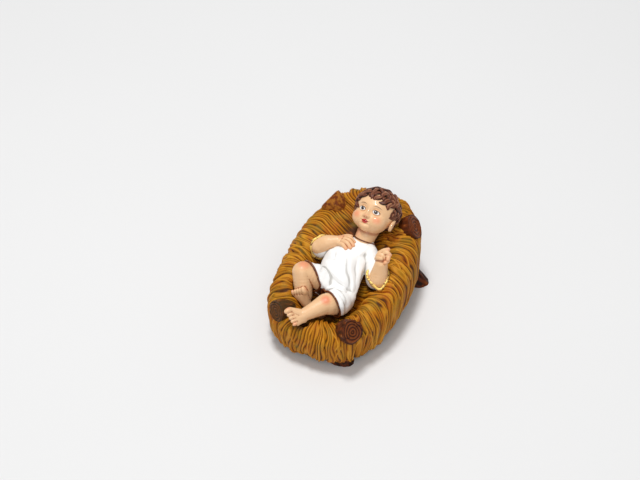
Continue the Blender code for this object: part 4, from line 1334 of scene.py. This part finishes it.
def ring_round(centre, axis, radius, tip):
    """(ring, directions) of a wavy ring round an axis that is drawn out and down to a soft point towards tip,
    a direction times the length of the point."""
    turn = turns(CUFF_COLUMNS)
    out = circle(turn, *crossways(axis, (0.0, 1.0, 0.2)))
    point = np.exp((out @ unit(tip) - 1) / 0.09)
    wave = 1 + 0.03 * np.sin(5 * turn) + 0.02 * np.sin(9 * turn + 1)
    drawn_out = (0.75 * out - 0.3 * axis) * (np.linalg.norm(tip) * point)[:, None]
    return centre + radius * wave[:, None] * out + drawn_out, out


def cuff(name, centre, axis, radius, tip, deep, cloth, gilt):
    """The mouth of a sleeve, a wall that flares to a rim and turns in again, and its gilt edge."""
    axis = unit(axis)
    rim, out = ring_round(centre, axis, radius, tip)
    back = (rim - centre) @ axis
    level = rim - axis * back[:, None]
    grid = [
        level + out * wide + axis * (back * (1 + share) + deep * share)[:, None] for share, wide in CUFF_PROFILE
    ]
    spots, faces = skin_over(along(grid, CUFF_ROWS)[None])
    plain = np.zeros(len(spots))
    put(f"{name}_cuff", (spots, faces), cloth, "baby", hollow=plain, under=plain)
    ring_tube(f"{name}_gilt_edge", rim, 0.58, 12, gilt)


def ring_tube(name, path, size, columns, paint):
    """A closed ring of round section carried along a closed path."""
    ahead = unit(np.roll(path, -1, 0) - np.roll(path, 1, 0))
    side, over = crossways(ahead, (0.02, 0.3, 1.0))
    grid = path[:, None] + size * circle(turns(columns), side[:, None], over[:, None])
    rows = len(path)
    i, j = np.meshgrid(np.arange(rows), np.arange(columns), indexing="ij")
    n, m = (i + 1) % rows, (j + 1) % columns
    quads = np.stack([i * columns + j, i * columns + m, n * columns + m, n * columns + j], -1).reshape(-1, 4)
    put(name, (grid.reshape(-1, 3), [quads]), paint, "baby")


def trims(look):
    """Cuffs with gilt edges, the neckline and the hems."""
    cloth, gilt, brown = gown_paint(look), gold_paint(look), hem_paint(look)
    cuff("left", (14.5, -3.1, 24.9), (0.085, -0.24, 0.97), 4.35, (1.5, -2.4, -0.4), 4.2, cloth, gilt)
    cuff("right", (-12.4, 1.2, 25.7), (0.63, -0.64, 0.44), 4.9, (0.0, 0.0, -0.6), 1.6, cloth, gilt)
    ring_tube("neckline", cut_round(NECK, gown_masses() + [limb(NECK)], *NECKLINE), 0.28, 8, brown)
    for name, (thigh, middle, bare) in zip(("right", "left"), HEMS):
        ring_tube(f"{name}_hem", cut_round(thigh, gown_masses(), middle, bare), 0.42, 10, brown)


def cut_round(limb_row, masses, middle, bare):
    """The ring in which a plane cuts the gown's masses round a limb: from the place where the limb's curve
    crosses the plane, the furthest distance in each direction at which it leaves any of the masses."""
    row = along(limb_row, 240)[:, :3]
    bare = unit(bare)
    origin = row[np.abs((row - middle) @ bare).argmin()]
    ways = circle(turns(144), *crossways(bare, (0.1, 0.2, 1.0)))
    centres, shapes = (np.concatenate(part) for part in zip(*masses))
    inverse = np.linalg.inv(shapes)
    d = np.einsum("nij,tj->nti", inverse, ways)
    gap = np.einsum("nij,nj->ni", inverse, origin - centres)[:, None]
    a, b, c = (d * d).sum(-1), (d * gap).sum(-1), (gap * gap).sum(-1) - 1
    under = b * b - a * c
    reach = np.where(under > 0, (np.sqrt(np.maximum(under, 0)) - b) / a, 0).max(axis=0)
    reach = np.minimum(reach, FURTHEST_CUT)
    for _ in range(6):
        reach = (np.roll(reach, 1) + 2 * reach + np.roll(reach, -1)) / 4
    return origin + ways * reach[:, None]


# Stage

FLOOR_SIZE = 2.5
# (name, place, size, power as a share of the key light's)
LAMPS = (("key", (-0.12, 0.06, 1.05), 0.22, 1.0), ("fill", (0.25, -0.90, 0.70), 0.80, 0.50))
CAMERA_PLACE = (0.2054, -0.4681, 0.5470)
CAMERA_BACK = (0.299, -0.641, 0.707)

def stage(look):
    """A pale floor, soft light from all sides, a small bright lamp above, a large soft one and the camera."""
    scene = bpy.context.scene
    paint = Paint("floor", Roughness=0.8)
    tint = paint.mix(paint.noise(0.004, 2.0), look.floor, tuple(0.96 * v for v in look.floor))
    floor = bpy.data.meshes.new("floor")
    corners = [(x * FLOOR_SIZE, y * FLOOR_SIZE, 0) for x, y in ((-1, -1), (1, -1), (1, 1), (-1, 1))]
    floor.from_pydata(corners, [], [(0, 1, 2, 3)])
    floor.materials.append(paint.finish(tint))
    made = link("floor", floor)
    scene.world = bpy.data.worlds.new("soft_light")
    scene.world.use_nodes = True
    sky = scene.world.node_tree.nodes["Background"].inputs
    sky["Color"].default_value = (1.0, 1.0, 1.0, 1.0)
    sky["Strength"].default_value = look.sky
    for name, place, size, share in LAMPS:
        light = bpy.data.lights.new(name, "AREA")
        light.energy = 4 * share * look.key
        light.size = size
        lamp = link(name, light)
        lamp.location = place
        lamp.rotation_euler = (Vector((0, 0, 0.02)) - Vector(place)).to_track_quat("-Z", "Y").to_euler()
    lens = bpy.data.cameras.new("camera")
    lens.lens = 100.0
    lens.sensor_width = 36.0
    lens.clip_start = 0.01
    scene.camera = link("camera", lens)
    scene.camera.location = CAMERA_PLACE
    scene.camera.rotation_euler = Vector(CAMERA_BACK).to_track_quat("Z", "Y").to_euler()
    scene.view_settings.view_transform = "Standard"


# The add-on

class Step(bpy.types.Operator):
    """Makes one group of pieces"""

    bl_options = {"REGISTER", "UNDO"}

    def execute(self, context):
        self.make(context.scene)
        return {"FINISHED"}


class MANGER_OT_straw_nest(Step):
    """Adds the straw nest"""

    bl_idname = "manger.straw_nest"
    bl_label = "Straw nest"

    def make(self, scene):
        straw_nest(scene.manger_nest)


class MANGER_OT_logs(Step):
    """Adds the log ends and the log feet"""

    bl_idname = "manger.logs"
    bl_label = "Logs"

    def make(self, scene):
        paint = wood_paint(scene.manger_logs)
        upper_logs(scene.manger_nest, scene.manger_logs, paint)
        lower_logs(scene.manger_nest, scene.manger_logs, paint)


class MANGER_OT_gown(Step):
    """Adds the gown"""

    bl_idname = "manger.gown"
    bl_label = "Gown"

    def make(self, scene):
        gown(scene.manger_figure)


class MANGER_OT_trims(Step):
    """Adds the cuffs, the gilt edges and the hems"""

    bl_idname = "manger.trims"
    bl_label = "Cuffs and hems"

    def make(self, scene):
        trims(scene.manger_figure)


class MANGER_OT_arms(Step):
    """Adds both arms with their hands"""

    bl_idname = "manger.arms"
    bl_label = "Arms"

    def make(self, scene):
        arms(scene.manger_figure)


class MANGER_OT_legs(Step):
    """Adds both legs with their feet"""

    bl_idname = "manger.legs"
    bl_label = "Legs"

    def make(self, scene):
        legs(scene.manger_figure)


class MANGER_OT_head(Step):
    """Adds the head with its ears and neck"""

    bl_idname = "manger.head"
    bl_label = "Head"

    def make(self, scene):
        head(scene.manger_figure)


class MANGER_OT_hair(Step):
    """Adds the hair"""

    bl_idname = "manger.hair"
    bl_label = "Hair"

    def make(self, scene):
        hair(scene.manger_figure)


class MANGER_OT_stage(Step):
    """Adds the floor, the lights and the camera"""

    bl_idname = "manger.stage"
    bl_label = "Stage"

    def make(self, scene):
        stage(scene.manger_stage)


STEPS = (
    MANGER_OT_straw_nest,
    MANGER_OT_logs,
    MANGER_OT_gown,
    MANGER_OT_trims,
    MANGER_OT_arms,
    MANGER_OT_legs,
    MANGER_OT_head,
    MANGER_OT_hair,
    MANGER_OT_stage,
)
SETTINGS = {
    "manger_nest": NestSettings,
    "manger_logs": LogSettings,
    "manger_figure": FigureSettings,
    "manger_stage": StageSettings,
}


class MANGER_PT_pieces(bpy.types.Panel):
    """Settings and steps of the manger figurine"""

    bl_label = "Manger figurine"
    bl_space_type = "VIEW_3D"
    bl_region_type = "UI"
    bl_category = "Manger"

    def draw(self, context):
        for group in SETTINGS:
            settings = getattr(context.scene, group)
            box = self.layout.box()
            for name in settings.bl_rna.properties.keys()[2:]:
                box.prop(settings, name)
        for step in STEPS:
            self.layout.operator(step.bl_idname)


def register():
    for made in (*SETTINGS.values(), *STEPS, MANGER_PT_pieces):
        bpy.utils.register_class(made)
    for name, group in SETTINGS.items():
        setattr(bpy.types.Scene, name, bpy.props.PointerProperty(type=group))


def unregister():
    for name in SETTINGS:
        delattr(bpy.types.Scene, name)
    for made in (MANGER_PT_pieces, *STEPS[::-1], *SETTINGS.values()):
        bpy.utils.unregister_class(made)


def main():
    register()
    bpy.ops.manger.straw_nest()
    bpy.ops.manger.logs()
    bpy.ops.manger.gown()
    bpy.ops.manger.trims()
    bpy.ops.manger.arms()
    bpy.ops.manger.legs()
    bpy.ops.manger.head()
    bpy.ops.manger.hair()
    bpy.ops.manger.stage()


if __name__ == "__main__":
    main()
